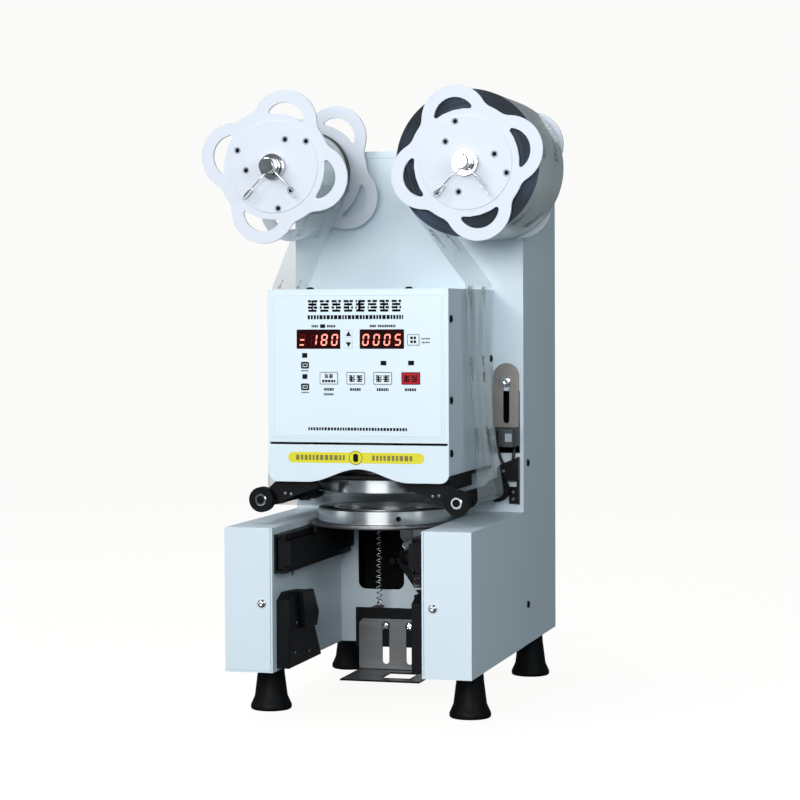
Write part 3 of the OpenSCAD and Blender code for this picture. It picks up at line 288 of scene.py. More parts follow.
def make_coats():
    pale_key = (0.74, 0.83, 0.885)
    powder_coat("casing", (0.66, 0.765, 0.83), 0.34, 0.9, 0.006)
    powder_coat("panel", (0.69, 0.80, 0.865), 0.3, 0.9, 0.005)
    powder_coat("overlay", (0.70, 0.81, 0.875), 0.36, 0.35, 0.002)
    powder_coat("key", pale_key, 0.35, 0.3, 0.002)
    powder_coat("key_red", (0.42, 0.004, 0.012), 0.4, 0.3, 0.002, 0.02, 0.2)
    powder_coat("arrow_key", pale_key, 0.35, 0.3, 0.002)
    powder_coat("black_steel", (0.0045, 0.005, 0.006), 0.42, 0.5, 0.02, 0.25, 0.12)
    # Near-black lining behind the column's openings: painted shade.
    powder_coat("painted_shade_lining", (0.003, 0.0033, 0.0036), 0.8, 0.8, 0.02, 0.3, 0.1)
    powder_coat("reel_plastic", (0.68, 0.725, 0.80), 0.42, 1.6, 0.006, 0.015, 0.3)
    powder_coat("sensor_body", (0.035, 0.042, 0.05), 0.48, 0.35, 0.01, 0.12)
    powder_coat("socket", (0.018, 0.019, 0.02), 0.5, 0.4, 0.01, 0.15)
    powder_coat("print_black", (0.004, 0.0045, 0.006), 0.45, 0.3, 0.001, 0.2, 0.06)
    # The darker rims round the flanges' holes: painted shade of the countersinks.
    powder_coat("countersink_painted_shade", (0.36, 0.4, 0.47), 0.35, 0.8, 0.004, 0.05)
    powder_coat("print_line", (0.5, 0.6, 0.66), 0.45, 0.3, 0.001, 0.05)
    powder_coat("yellow", (0.72, 0.66, 0.012), 0.38, 0.4, 0.002)
    powder_coat("yellow_print", (0.2, 0.17, 0.02), 0.4, 0.3, 0.001, 0.1)
    powder_coat("label", (0.35, 0.4, 0.44), 0.5, 0.4, 0.002, 0.1)
    powder_coat("film_print", (0.02, 0.1, 0.07), 0.35, 0.4, 0.001, 0.3)
    rubber = powder_coat("rubber", (0.003, 0.0033, 0.0038), 0.5, 1.1, 0.03, 0.3, 0.1)
    rubber.rough(rubber.noise(35, 3), 0.42, 0.62)
    powder_coat("cable", (0.01, 0.01, 0.011), 0.5, 0.6, 0.01, 0.2)
    board = powder_coat("board", (0.02, 0.11, 0.05), 0.35, 1.5, 0.01, 0.2)
    board.fill(board.shader, {"Coat Weight": 0.4})


def display_finish(name, colour, roughness, specular, grain, detail, spread, glow=(1, 1, 1), strength=0):
    """A part of the LED displays, which may give off light."""
    made = Finish(name, colour, roughness, Specular_IOR_Level=specular, Emission_Color=(*glow, 1),
                  Emission_Strength=strength)
    made.shade(made.noise(grain, detail), spread)
    finishes[name] = made.material


def make_display_finishes():
    display_finish("window", (0.016, 0.0006, 0.001), 0.3, 0.04, 90, 2, 0.5)
    display_finish("led_lit", (0.9, 0.2, 0.15), 0.4, 0.5, 300, 1, 0.05, (1, 0.3, 0.22), 1.1)
    # The unlit bars give off a faint red light of their own: a painted glow, though they are not lit.
    display_finish("led_unlit_painted_glow", (0.05, 0.001, 0.002), 0.4, 0.04, 120, 2, 0.4, (1, 0.02, 0.02), 0.05)


def turned(made):
    """Streaks that run round the cup ring's axis."""
    return made.around(0, RING_Y * MM)


def make_metals():
    brushed("satin_steel", (0.78, 0.795, 0.81), 0.2, (2.4, 2.4, 0.3), 0.0003, turned, 0.02)
    brushed("plate_steel", (0.5, 0.515, 0.53), 0.32, (0.12, 4, 4), 0.004)
    brushed("dark_steel", (0.16, 0.165, 0.175), 0.4, (0.2, 3, 3), 0.006)
    brushed("slot_plate", (0.19, 0.18, 0.168), 0.36, (6, 6, 0.15), 0.005)
    brushed("die", (0.55, 0.42, 0.18), 0.3, (1, 5, 1), 0.004, turned)
    brushed("galvanised", (0.5, 0.52, 0.54), 0.38, (1, 1, 1), 0.004)
    chrome = Finish("chrome", (0.62, 0.63, 0.64), 0.1, 1.0)
    chrome.rough(chrome.noise(200, 3), 0.06, 0.16)
    chrome.shade(chrome.noise(40, 2), 0.03)
    finishes["chrome"] = chrome.material
    blacken_foot(brushed("stop_steel", (0.2, 0.205, 0.21), 0.34, (0.1, 4, 4), 0.004))


def wound_end(name, side, colour):
    """The end of a roll: fine dark turns, with pale streaks where they are loose."""
    wound = Finish(name, colour, 0.4, Specular_IOR_Level=0.12)
    rings = wound.noise(900, 5, (1, 0.02, 1), wound.around(side * REEL_X * MM, REEL_Z * MM, "Y"))
    both = wound.node("ShaderNodeMath", {0: rings, 1: wound.noise(26, 2)}, operation="MULTIPLY")
    wound.tint(both[0], colour, [6 * c for c in colour], 0.22, 0.5)
    wound.bump(rings, 0.05)
    finishes[name] = wound.material


def film_finish(name, alpha, colour):
    film = Finish(name, colour, 0.16, Alpha=alpha, Coat_Weight=0.3)
    film.shade(film.noise(22, 3, (1, 0.35, 1)), 0.16)
    film.bump(film.noise(45, 2, (1, 0.3, 1)), 0.25)
    finishes[name] = film.material


def make_finishes():
    make_coats()
    make_display_finishes()
    make_metals()
    wound_end("film_roll_end", 1, (0.008, 0.013, 0.022))
    wound_end("core_end", -1, (0.01, 0.012, 0.015))
    film_finish("film", 0.24, (0.72, 0.8, 0.82))
    film_finish("film_wound", 1.0, (0.62, 0.69, 0.68))


def blacken_foot(finish):
    """The stop's upright plate is bare metal, and below the top of its foot the colour turns near black."""
    foot_top, fade = 0.0246, 0.0004
    height = finish.node("ShaderNodeSeparateXYZ", {0: finish.place})["Z"]
    above = finish.node("ShaderNodeMapRange",
                        {"From Min": foot_top - fade, "From Max": foot_top + fade, "Value": height})
    bright = finish.shader.inputs["Base Color"].links[0].from_socket
    mixed = {"A": (0.012, 0.013, 0.015, 1), "B": bright, "Factor": above["Result"]}
    mix = finish.node("ShaderNodeMix", mixed, data_type="RGBA")
    finish.fill(finish.shader, {"Base Color": mix["Result"]})


# Mesh building in millimetres
def add_piece(name, built, finish, body, smooth_deg=35):
    """Makes a piece from a bmesh in millimetres. A piece given no body is not attached to one."""
    bmesh.ops.scale(built, vec=(MM, MM, MM), verts=built.verts)
    bmesh.ops.recalc_face_normals(built, faces=built.faces)
    mesh = bpy.data.meshes.new(name)
    built.to_mesh(mesh)
    built.free()
    mesh.materials.append(finishes[finish])
    piece = new_object(name, mesh)
    mesh.shade_smooth()
    mesh.set_sharp_from_angle(angle=math.radians(smooth_deg))
    if body:
        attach(piece, body)
    return piece


def add_box(built, low, high):
    made = bmesh.ops.create_cube(built, size=1)["verts"]
    size = [h - l for l, h in zip(low, high)]
    middle = [(h + l) / 2 for l, h in zip(low, high)]
    bmesh.ops.scale(built, vec=size, verts=made)
    bmesh.ops.translate(built, vec=middle, verts=made)


def add_prism(built, outline, y0, y1):
    """A flat outline of (x, z) points, from y0 back to y1."""
    front = [built.verts.new((x, y0, z)) for x, z in outline]
    back = [built.verts.new((x, y1, z)) for x, z in outline]
    count = len(outline)
    built.faces.new(front)
    built.faces.new(back[::-1])
    for k in range(count):
        n = (k + 1) % count
        built.faces.new((front[k], back[k], back[n], front[n]))


def add_cross_prism(built, outline, x0, x1):
    """A flat outline of (y, z) points, from x0 to x1."""
    before = len(built.verts)
    add_prism(built, outline, x0, x1)
    built.verts.ensure_lookup_table()
    for vert in built.verts[before:]:
        vert.co.x, vert.co.y = vert.co.y, vert.co.x


def add_lathe(built, profile, origin, axis, sides=64):
    """Turns a profile of (distance along the axis, radius) points about the axis.

    The profile starts and ends on the axis, or is closed.
    """
    on_axis = 1e-6
    turn = Vector((0, 0, 1)).rotation_difference(Vector(axis)).to_matrix()
    rings = []
    for along, radius in profile:
        count = sides if radius > on_axis else 1
        ring = [Vector((*on_circle((0, 0), radius, a), along)) for a in around(count)]
        rings.append([built.verts.new(turn @ point + Vector(origin)) for point in ring])
    if profile[0][1] > on_axis:
        rings.append(rings[0])
    for low, high in zip(rings, rings[1:]):
        for k in range(sides):
            n = k + 1
            corners = (low[k % len(low)], low[n % len(low)], high[n % len(high)], high[k % len(high)])
            built.faces.new(list(dict.fromkeys(corners)))


def lathe_piece(name, profile, origin, axis, sides, finish, body):
    built = bmesh.new()
    add_lathe(built, profile, origin, axis, sides)
    add_piece(name, built, finish, body)


def add_tube(built, route, radius, sides=12):
    """A round wire along the route, with flat ends."""
    route = [Vector(p) for p in route]
    side = None
    rings = []
    for i, point in enumerate(route):
        heading = (route[min(i + 1, len(route) - 1)] - route[max(i - 1, 0)]).normalized()
        if side is None:
            side = heading.orthogonal()
        side = (side - side.dot(heading) * heading).normalized()
        other = heading.cross(side)
        rings.append([built.verts.new(point + radius * (side * math.cos(a) + other * math.sin(a)))
                      for a in around(sides)])
    bridge(built, rings)
    built.faces.new(rings[0][::-1])
    built.faces.new(rings[-1])


def rounded(x0, x1, z0, z1, r, steps=6):
    """The outline of a rectangle with corners of radius r."""
    points = []
    middles = ((x1 - r, z1 - r), (x0 + r, z1 - r), (x0 + r, z0 + r), (x1 - r, z0 + r))
    for corner, middle in enumerate(middles):
        for k in range(steps + 1):
            points.append(on_circle(middle, r, math.radians(90 * corner + 90 * k / steps)))
    return points


def hexagon(r, x=0, z=0):
    """The outline of a six-sided bar whose corners are r from its middle."""
    return [on_circle((x, z), r, a) for a in around(6)]


def smooth_route(points, steps=8):
    """A Catmull-Rom line through the points."""
    points = [Vector(p) for p in points]
    padded = [2 * points[0] - points[1]] + points + [2 * points[-1] - points[-2]]
    route = []
    for a, b, c, d in zip(padded, padded[1:], padded[2:], padded[3:]):
        for k in range(steps):
            t = k / steps
            route.append(0.5 * (2 * b + (c - a) * t + (2 * a - 5 * b + 4 * c - d) * t * t
                                + (3 * b - a - 3 * c + d) * t ** 3))
    return route + [points[-1]]


# The CAD nodes keep their shapes, and get their finishes and eased edges
SLOT_FINISH = {"film_roll": "film_roll_end"}
NODE_FINISH = {"tray_plate": "dark_steel", "cup_stop": "stop_steel", "press_guides": "plate_steel"}
# How wide the eased edges of each node are, in millimetres
EASED = {
    0.3: ("slide_rails", "cup_stop", "stop_carrier", "sensor_plate"),
    0.35: ("reel_shaft_left", "reel_shaft_right"),
    0.4: ("rear_cover", "arm_frames", "head_front_panel", "visor", "tray_plate", "roller_brackets",
          "head_base", "tray_sliders"),
    0.45: ("reel_flanges_left", "reel_flanges_right"),
    0.5: ("column_shell", "base_plate", "head_cover", "arm_brackets", "power_inlet", "rubber_feet",
          "press_yoke", "reel_bearings"),
    0.6: ("film_sensor",),
    0.7: ("arm_cover_left", "arm_cover_right"),
    0.8: ("column_cap", "guide_roller_left", "guide_roller_right"),
}


def ease(piece, width, sharper_than=30):
    """Rounds the edges that are sharper than this many degrees. The width is in millimetres."""
    bevel = piece.modifiers.new("eased_edges", "BEVEL")
    bevel.width = width * MM
    bevel.segments = 2
    bevel.limit_method = "ANGLE"
    bevel.angle_limit = math.radians(sharper_than)
    return bevel


def dress_nodes():
    """Gives each CAD node its finish, and eases the edges of those in EASED."""
    slots = {part["node"]: part["material_slot"] for part in frame["record"]["subparts"]}
    widths = {name: width for width, names in EASED.items() for name in names}
    for name, node in NODES.items():
        finish = NODE_FINISH.get(name, SLOT_FINISH.get(slots[name], slots[name]))
        node.data.materials.clear()
        node.data.materials.append(finishes[finish])
        if name in widths:
            weld = node.modifiers.new("weld", "WELD")
            weld.merge_threshold = 0.00001
            flat = node.modifiers.new("flat_faces", "DECIMATE")
            flat.decimate_type = "DISSOLVE"
            flat.angle_limit = math.radians(1)
            bevel = ease(node, widths[name], 40)
            bevel.use_clamp_overlap = True
            bevel.harden_normals = True


# Control panel: its print, its digits and the keys' legends, in millimetres
HEAD_Y = -138.4
OVERLAY_Y = -138.9
KEY_Y = -139.2
PRINT_T = 0.05

# Each key's middle x and z, its width and its height
KEY_ROW_Z = 299.4
KEYS = {
    "mode": (-25.8, KEY_ROW_Z, 16.6, 10.6), "start": (-1.2, KEY_ROW_Z, 16.6, 10.6),
    "pause": (23.2, KEY_ROW_Z, 16.6, 10.6), "power": (48.6, KEY_ROW_Z, 16.6, 10.6),
    "clear": (51, 332.9, 10.8, 9.6), "up": (-7.6, 338.2, 6.4, 6), "down": (-7.6, 329, 6.4, 6),
}

# The printed indicator squares: x0, x1, z0, z1
INDICATORS = (
    (21.4, 26.6, 310.7, 314.7), (46.2, 51.6, 310.8, 314.8),
    (-50.4, -45.6, 317.2, 321.4), (-50.2, -45.6, 298.7, 302.9),
)


def block(built, x0, x1, z0, z1, y=OVERLAY_Y):
    add_box(built, (x0, y - PRINT_T, z0), (x1, y, z1))


def greeked(built, x0, x1, z0, z1, widths, gap, y=OVERLAY_Y):
    """A row of plain blocks of uneven width, where the real panel has lettering."""
    x = x0
    while x < x1 - widths[0] * 0.5:
        w = min(random.uniform(*widths), x1 - x)
        block(built, x, x + w, z0, z1, y)
        x += w + gap


def tile(built, x, z, w, h, y=OVERLAY_Y):
    """One block of a heading: short bars with gaps, which spell nothing."""
    rows, bar_share = 4, 0.72
    for i in range(rows):
        low = z - h / 2 + i * h / rows
        split = random.uniform(0.25, 0.75) * w
        bars = [(0, split - 0.12 * w), (split + 0.05 * w, w)] if i % 2 else [(0.05 * w, 0.92 * w)]
        for a, b in bars:
            if b - a > 0.1 * w:
                block(built, x - w / 2 + a, x - w / 2 + b, low, low + h / rows * bar_share, y)
    stem = x - 0.1 * w + random.uniform(-0.2, 0.2) * w
    block(built, stem, x + 0.04 * w, z - h / 2, z + h / 2 - 0.08 * h, y)


def frame_line(built, x0, x1, z0, z1, r, line, y=OVERLAY_Y):
    """A line round a rectangle with corners of radius r."""
    outer = rounded(x0, x1, z0, z1, r)
    inner = rounded(x0 + line, x1 - line, z0 + line, z1 - line, max(r - line, 0.1))
    front, back = ([[built.verts.new((x, face_y, z)) for x, z in ring] for ring in (outer, inner)]
                   for face_y in (y - PRINT_T, y))
    count = len(outer)
    for k in range(count):
        n = (k + 1) % count
        built.faces.new((front[0][k], front[0][n], front[1][n], front[1][k]))
        built.faces.new((back[0][n], back[0][k], back[1][k], back[1][n]))
        built.faces.new((front[0][n], front[0][k], back[0][k], back[0][n]))
        built.faces.new((front[1][k], front[1][n], back[1][n], back[1][k]))


def make_panel_print():
    """The overlay's print: plain tiles and blocks stand for its heading and its words."""
    built = bmesh.new()
    heading_x, heading_step = -40.4, 10.9
    for i in range(8):
        tile(built, heading_x + heading_step * i, 363, 8.6, 11)
    greeked(built, -45, 42, 351, 354.6, (1.6, 3.2), 0.75)
    block(built, -33.6, -29, 343.4, 346.6)
    for x0, x1 in ((-41.4, -35), (-27.2, -19.4), (11.6, 17.4), (19, 35)):
        greeked(built, x0, x1, 343.9, 346, (0.9, 1.6), 0.4)
    for x0, x1, z0, z1 in INDICATORS:
        block(built, x0, x1, z0, z1)
    for z in (310.7, 291.7):
        frame_line(built, -51.4, -44, z - 3, z + 3, 1.3, 1.5)
        block(built, -49.4, -46, z - 0.9, z + 0.9)
        greeked(built, -51.2, -44.4, z - 5.4, z - 4.3, (0.8, 1.3), 0.4)
    for name in ("start", "pause", "power", "mode"):
        x, z = KEYS[name][:2]
        half = 5.3 if name != "mode" else 4.4
        greeked(built, x - half, x + half, z - 11, z - 8.6, (1.2, 1.8), 0.45)
    greeked(built, -30.4, -21.4, 284.4, 286.2, (0.9, 1.4), 0.4)
    for z in (333.2, 330):
        greeked(built, 58.4, 66, z, z + 1.3, (0.7, 1.2), 0.4)
    greeked(built, -45, 45, 253.6, 256.2, (1.5, 2.3), 0.75)
    add_piece("panel_print", built, "print_black", "frame")
    line = bmesh.new()
    frame_line(line, -76.4, 76.4, 248.6, 371.8, 3, 0.35)
    add_piece("panel_border", line, "print_line", "frame")


def legend(name):
    """The print on one key. It rides with the key."""
    built = bmesh.new()
    x, z, w, h = KEYS[name]
    edge = 0.1
    if name in ("up", "down"):
        point = 2.4 if name == "up" else -2.4
        base_z = z - point * 0.8
        add_prism(built, [(x - 2.5, base_z), (x + 2.5, base_z), (x, z + point)], KEY_Y - PRINT_T, KEY_Y)
    else:
        frame_line(built, x - w / 2 + edge, x + w / 2 - edge, z - h / 2 + edge, z + h / 2 - edge,
                   1, 0.38, KEY_Y)
    if name == "clear":
        for middle_x in (x - 1.5, x + 1.5):
            for middle_z in (z - 1.7, z + 1.7):
                block(built, middle_x - 1.1, middle_x + 1.1, middle_z - 1.15, middle_z + 1.15, KEY_Y)
    if name == "mode":
        for dx in (-2.1, 2.1):
            tile(built, x + dx, z + 2, 3.4, 3.8, KEY_Y)
        greeked(built, x - 6, x + 6, z - 3.6, z - 1.4, (1.6, 2.2), 0.6, KEY_Y)
    if name in ("start", "pause", "power"):
        for dx in (-3.4, 3.4):
            tile(built, x + dx, z, 5.4, 6.2, KEY_Y)
    add_piece("legend_" + name, built, "print_black", "button_" + name)


# The bars that are lit in each digit
SEGMENTS = {"0": "abcdef", "1": "bc", "5": "acdfg", "8": "abcdefg", "=": "gd"}


def segment_bars(height, width, stroke):
    """The outlines of a digit's seven bars, about its middle."""
    h, w, s = height / 2, width / 2, stroke / 2
    gap = stroke * 0.62

    def upright(x, z0, z1):
        return [(x - s, z0 + s), (x, z0), (x + s, z0 + s), (x + s, z1 - s), (x, z1), (x - s, z1 - s)]

    def level(z):
        end = w - gap
        return [(-end, z), (-end + s, z - s), (end - s, z - s), (end, z), (end - s, z + s), (-end + s, z + s)]
    return {
        "a": level(h - s), "g": level(0), "d": level(s - h), "f": upright(s - w, gap / 2, h - gap),
        "b": upright(w - s, gap / 2, h - gap), "e": upright(s - w, gap - h, -gap / 2),
        "c": upright(w - s, gap - h, -gap / 2)}


def make_digits():
    """The lit and the unlit bars of both displays, and a black rim round each window."""
    lit, unlit = bmesh.new(), bmesh.new()
    bars = segment_bars(10.2, 5.8, 1.25)
    slant = math.tan(math.radians(7))
    z = 333
    digits = ((-50.1, "="), (-39.4, "1"), (-29.9, "8"), (-20.4, "0"),
              (8, "0"), (17.7, "0"), (27.4, "0"), (37.1, "5"))
    for x, digit in digits:
        for key, outline in bars.items():
            shaped = [(x + px + pz * slant, z + pz) for px, pz in outline]
            on = key in SEGMENTS[digit]
            add_prism(lit if on else unlit, shaped, OVERLAY_Y - (0.12 if on else 0.06), OVERLAY_Y)
    add_piece("digits_lit", lit, "led_lit", "frame")
    add_piece("digits_unlit", unlit, "led_unlit_painted_glow", "frame")
    rim = bmesh.new()
    for x in (-35.2, 22.6):
        frame_line(rim, x - 20.1, x + 20.1, 325.1, 342.1, 0.6, 0.5)
    add_piece("display_rims", rim, "print_black", "frame")


def make_visor_strip():
    """The yellow strip on the visor, its marks, and the round spot in its middle."""
    z, r = 229.7, 4.7
    spot_x, spot_r = -1.8, 6.3
    thick = 0.12
    strip = bmesh.new()
    add_prism(strip, rounded(-63.9, 60.2, z - r, z + r, r - 0.01, 10), HEAD_Y - thick, HEAD_Y)
    add_lathe(strip, [(0, 0), (0, spot_r), (0.16, spot_r), (0.16, 0)], (spot_x, HEAD_Y, z), (0, -1, 0))
    add_piece("visor_strip", strip, "yellow", "frame")
    marks = bmesh.new()
    add_lathe(marks, [(0, 5.5), (0, 6.2), (0.22, 6.2), (0.22, 5.5)], (spot_x, HEAD_Y, z), (0, -1, 0))
    for x0, x1 in ((-56.6, -11.6), (13.2, 51.4)):
        greeked(marks, x0, x1, z - 2.3, z + 2.3, (1.5, 3.4), 1.3, HEAD_Y - thick)
    add_piece("visor_strip_marks", marks, "yellow_print", "frame")
    spot = bmesh.new()
    add_prism(spot, rounded(-4.1, 0.5, z - 3.6, z + 3.6, 1.8), HEAD_Y - 0.24, HEAD_Y - 0.14)
    add_piece("visor_strip_spot", spot, "print_black", "frame")


# Screws: one of each kind, with its recess cut, and copies where the CAD has them
def cut_recess(built, cutters, name):
    """Cuts each cutter out of a closed mesh with an exact boolean, and returns the mesh."""
    objects = []
    for part in [built] + cutters:
        bmesh.ops.recalc_face_normals(part, faces=part.faces)
        mesh = bpy.data.meshes.new(name)
        part.to_mesh(mesh)
        part.free()
        objects.append(new_object(name, mesh))
    blank = objects[0]
    for cutter in objects[1:]:
        modifier = blank.modifiers.new("cut", "BOOLEAN")
        modifier.object = cutter
        modifier.solver = "EXACT"
    bpy.context.view_layer.update()
    result = bpy.data.meshes.new_from_object(blank.evaluated_get(bpy.context.evaluated_depsgraph_get()))
    for made in objects:
        bpy.data.objects.remove(made)
    return result


def screw_blank(head):
    """A screw with its head's profile, and a plain shank below it."""
    shank_r, shank_l = 1.6, 6
    built = bmesh.new()
    profile = head + [(0, shank_r), (-shank_l, shank_r), (-shank_l, 0)]
    add_lathe(built, profile, (0, 0, 0), (0, 0, 1), 32)
    return built


def cross_screw(name, head):
    bars = []
    for half_x, half_y in ((2, 0.35), (0.35, 2)):
        bar = bmesh.new()
        add_box(bar, (-half_x, -half_y, 0.9), (half_x, half_y, 6))
        bars.append(bar)
    return cut_recess(screw_blank(head), bars, name)


def hex_cutter(r, bottom, top):
    """A six-sided bar along Z."""
    cutter = bmesh.new()
    add_prism(cutter, hexagon(r), -top, -bottom)
    bmesh.ops.rotate(cutter, verts=cutter.verts, matrix=Matrix.Rotation(math.radians(-90), 3, "X"))
    return cutter


def hex_screw(name, head, socket_r, bottom):
    return cut_recess(screw_blank(head), [hex_cutter(socket_r, bottom, 6)], name)


def place_screws(name, prototype, places, finish, replaced=None):
    """Copies of one screw. Each place is its seat, the way that it faces, and its turn in degrees."""
    built = bmesh.new()
    for seat, outward, spin in places:
        turn = Vector((0, 0, 1)).rotation_difference(Vector(outward)).to_matrix().to_4x4()
        turn = Matrix.Translation(seat) @ turn @ Matrix.Rotation(math.radians(spin), 4, "Z")
        before = len(built.verts)
        built.from_mesh(prototype)
        built.verts.ensure_lookup_table()
        bmesh.ops.transform(built, matrix=turn, verts=built.verts[before:])
    piece = add_piece(name, built, finish, "frame")
    if replaced:
        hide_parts(replaced)


def make_screws():
    """The casing's black screws and the chrome ones. Each head is a profile of (height, radius) points."""
    casing_x, head_x = 111, 82.3
    head_edge_y, rear_y = -130.9, 175
    pan = [(2.0, 0), (1.95, 1.1), (1.75, 2.1), (1.35, 2.9), (0.8, 3.35), (0, 3.4)]
    places = []
    for side in SIDES:
        for z in (81.5, 215):
            places.append(((casing_x * side, 47.2, z), (side, 0, 0)))
        for z in (351, 280.3, 234):
            places.append(((head_x * side, head_edge_y, z), (side, 0, 0)))
        places.append(((head_x * side, 19, 313.3), (side, 0, 0)))
        places.append(((45 * side, head_edge_y, 377.3), (0, 0, 1)))
        for z in (57, 273.3, 489.6):
            places.append(((99 * side, rear_y, z), (0, 1, 0)))
    spun = [(seat, outward, random.uniform(0, 90)) for seat, outward in places]
    place_screws("black_screws", cross_screw("pan", pan), spun, "black_steel", "screws_black")
    dome = [(2.4, 0), (2.3, 1.3), (1.9, 2.5), (1.2, 3.5), (0.5, 3.95), (0, 4.0)]
    arms = [((77 * side, -175, 104), TO_FRONT, 20 * side) for side in SIDES]
    place_screws("arm_screws", hex_screw("dome", dome, 1.5, 0.9), arms, "chrome", "screws_chrome")
    low = [(2.2, 0), (2.1, 1.9), (1.7, 3.2), (1.0, 4.1), (0, 4.4)]
    stops = [((11.5 * side, -11.6, 65), TO_FRONT, 35 + 15 * side) for side in SIDES]
    place_screws("stop_screws", cross_screw("low", low), stops, "chrome")
    cap = [(2.6, 0), (2.6, 3.8), (2.2, 4.4), (0.6, 4.6), (0, 4.6)]
    sensor = [((95.1, 27.6, 291.6), TO_FRONT, 0)]
    place_screws("sensor_screw", hex_screw("cap", cap, 2.1, 0.7), sensor, "chrome")


# Film: the route in the XZ plane that part.scad gives, as one tight sheet
PRINT_STEP = 63


def tangent_angle(point, centre, r, turn):
    """Where a line from the point touches a circle, as an angle. The turn of 1 or -1 picks the side."""
    dx, dz = point[0] - centre[0], point[1] - centre[1]
    return math.atan2(dz, dx) + turn * math.acos(r / math.hypot(dx, dz))


def film_route():
    """The film's points in the XZ plane, from the right roll round both rollers to the left core."""
    reel, roller = (REEL_X, REEL_Z), (ROLLER_X, ROLLER_Z)
    left_reel, left_roller = (-REEL_X, REEL_Z), (-ROLLER_X, ROLLER_Z)
    right_bend, left_bend = (86.5, 382.3), (-92.3, 380.3)
    wrap_r, gap, wrap_steps = 7.95, 0.75, 12
    roll_r, core_r = ROLL_R + gap, CORE_R + gap
    points = [on_circle(reel, roll_r, tangent_angle(right_bend, reel, roll_r, -1)), right_bend]
    start = tangent_angle(right_bend, roller, wrap_r, -1)
    for k in range(wrap_steps + 1):
        points.append(on_circle(roller, wrap_r, start - k * (start + math.pi / 2) / wrap_steps))
    end = tangent_angle(left_bend, left_roller, wrap_r, 1)
    for k in range(wrap_steps + 1):
        points.append(on_circle(left_roller, wrap_r, -math.pi / 2 - k * (1.5 * math.pi - end) / wrap_steps))
    points.append(left_bend)
    points.append(on_circle(left_reel, core_r, tangent_angle(left_bend, left_reel, core_r, 1)))
    return points


class Route:
    """A line through points in the XZ plane, which is read by its length."""

    def __init__(self, points):
        self.points = [Vector((x, 0, z)) for x, z in points]
        self.lengths = [0]
        for a, b in zip(self.points, self.points[1:]):
            self.lengths.append(self.lengths[-1] + (b - a).length)
        self.total = self.lengths[-1]

    def at(self, s):
        """The point at a length s, and the direction out of the film's face there."""
        s = min(max(s, 0), self.total)
        k = max(i for i, length in enumerate(self.lengths[:-1]) if length <= s + 1e-9)
        a, b = self.points[k], self.points[k + 1]
        heading = (b - a).normalized()
        point = a + (s - self.lengths[k]) * heading
        return point, Vector((-heading.z, 0, heading.x))


def film_place(route):
    """Gives the point on the film at a length s along it and a flat place y across it, out from its face."""
    width = FILM_Y1 - FILM_Y0
    ripple_depth, fold_depth, calm_l = 0.5, 7, 40

    def place(s, y, out):
        point, normal = route.at(s)
        from_bend = min(1, min(abs(s - length) for length in route.lengths) / calm_l)
        share = (y - FILM_Y0) / width
        gather = film_gather(s)
        y_here = FILM_Y0 + width * (1 - gather) * share
        # none on the level stretch, which the press comes down to
        ripple = ripple_depth * from_bend * (1 - normal.z ** 4)
        wave = ripple * math.sin(0.06 * y_here + 0.021 * s) * math.sin(0.045 * s + 1)
        wave -= fold_depth * gather * math.sin(3 * math.pi * share) ** 2
        return point + normal * (wave + out) + Vector((0, y_here, 0))
    return place


def film_gather(s):
    """The share of its width that the film loses where it is pulled together beside the head."""
    low, high = 70, 290
    most = 0.3
    if not low < s < high:
        return 0
    return most * math.sin(math.pi * (s - low) / (high - low)) ** 1.5


def sheet_faces(built, sheets, across):
    """Closes two sheets of points, a face and a back, into one thin solid."""
    for rows in sheets:
        for low, high in zip(rows, rows[1:]):
            for j in range(across):
                built.faces.new((low[j], low[j + 1], high[j + 1], high[j]))
    top, bottom = sheets
    for i in range(len(top) - 1):
        for j in (0, across):
            built.faces.new((top[i][j], top[i + 1][j], bottom[i + 1][j], bottom[i][j]))
    for i in (0, len(top) - 1):
        for j in range(across):
            built.faces.new((top[i][j], top[i][j + 1], bottom[i][j + 1], bottom[i][j]))


def make_film():
    """The film from the roll to the core, as one tight sheet with its print."""
    route = Route(film_route())
    place = film_place(route)
    station_l, across, half_t = 6.0, 20, 0.06
    stations = {station_l * k for k in range(int(route.total / station_l) + 1)}
    stations = sorted(stations | {round(s, 3) for s in route.lengths})
    places_y = [FILM_Y0 + (FILM_Y1 - FILM_Y0) * j / across for j in range(across + 1)]
    built = bmesh.new()
    sheets = [[[built.verts.new(place(s, y, out)) for y in places_y] for s in stations]
              for out in (half_t, -half_t)]
    sheet_faces(built, sheets, across)
    sheet = add_piece("film_sheet", built, "film", "frame", 60)
    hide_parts("film_web")
    marks = bmesh.new()
    s, last = 22, route.total - 20
    while s < last:
        print_group(marks, s, place, 0.16)
        s += PRINT_STEP
    # Painted shade along the film's front edge, on the stretches beside the head.
    for s0, s1 in ((96, 305), (route.total - 300, route.total - 110)):
        edge_shade_strip(marks, place, s0, s1)
    printed = add_piece("film_print", marks, "film_print", "frame")


def edge_shade_strip(built, place, s0, s1):
    """A painted dark line along the clear film's front edge, the shade its edge shows when seen edge-on, from
    s0 to s1 along the film.
    """
    width, low, high = 1.1, 0.07, 0.2
    corners = ((FILM_Y0, low), (FILM_Y0 + width, low), (FILM_Y0 + width, high), (FILM_Y0, high))
    count = int((s1 - s0) / 6)
    rings = []
    for k in range(count + 1):
        s = s0 + (s1 - s0) * k / count
        rings.append([built.verts.new(place(s, y, out)) for y, out in corners])
    bridge(built, rings)
    built.faces.new(rings[0][::-1])
    built.faces.new(rings[-1])


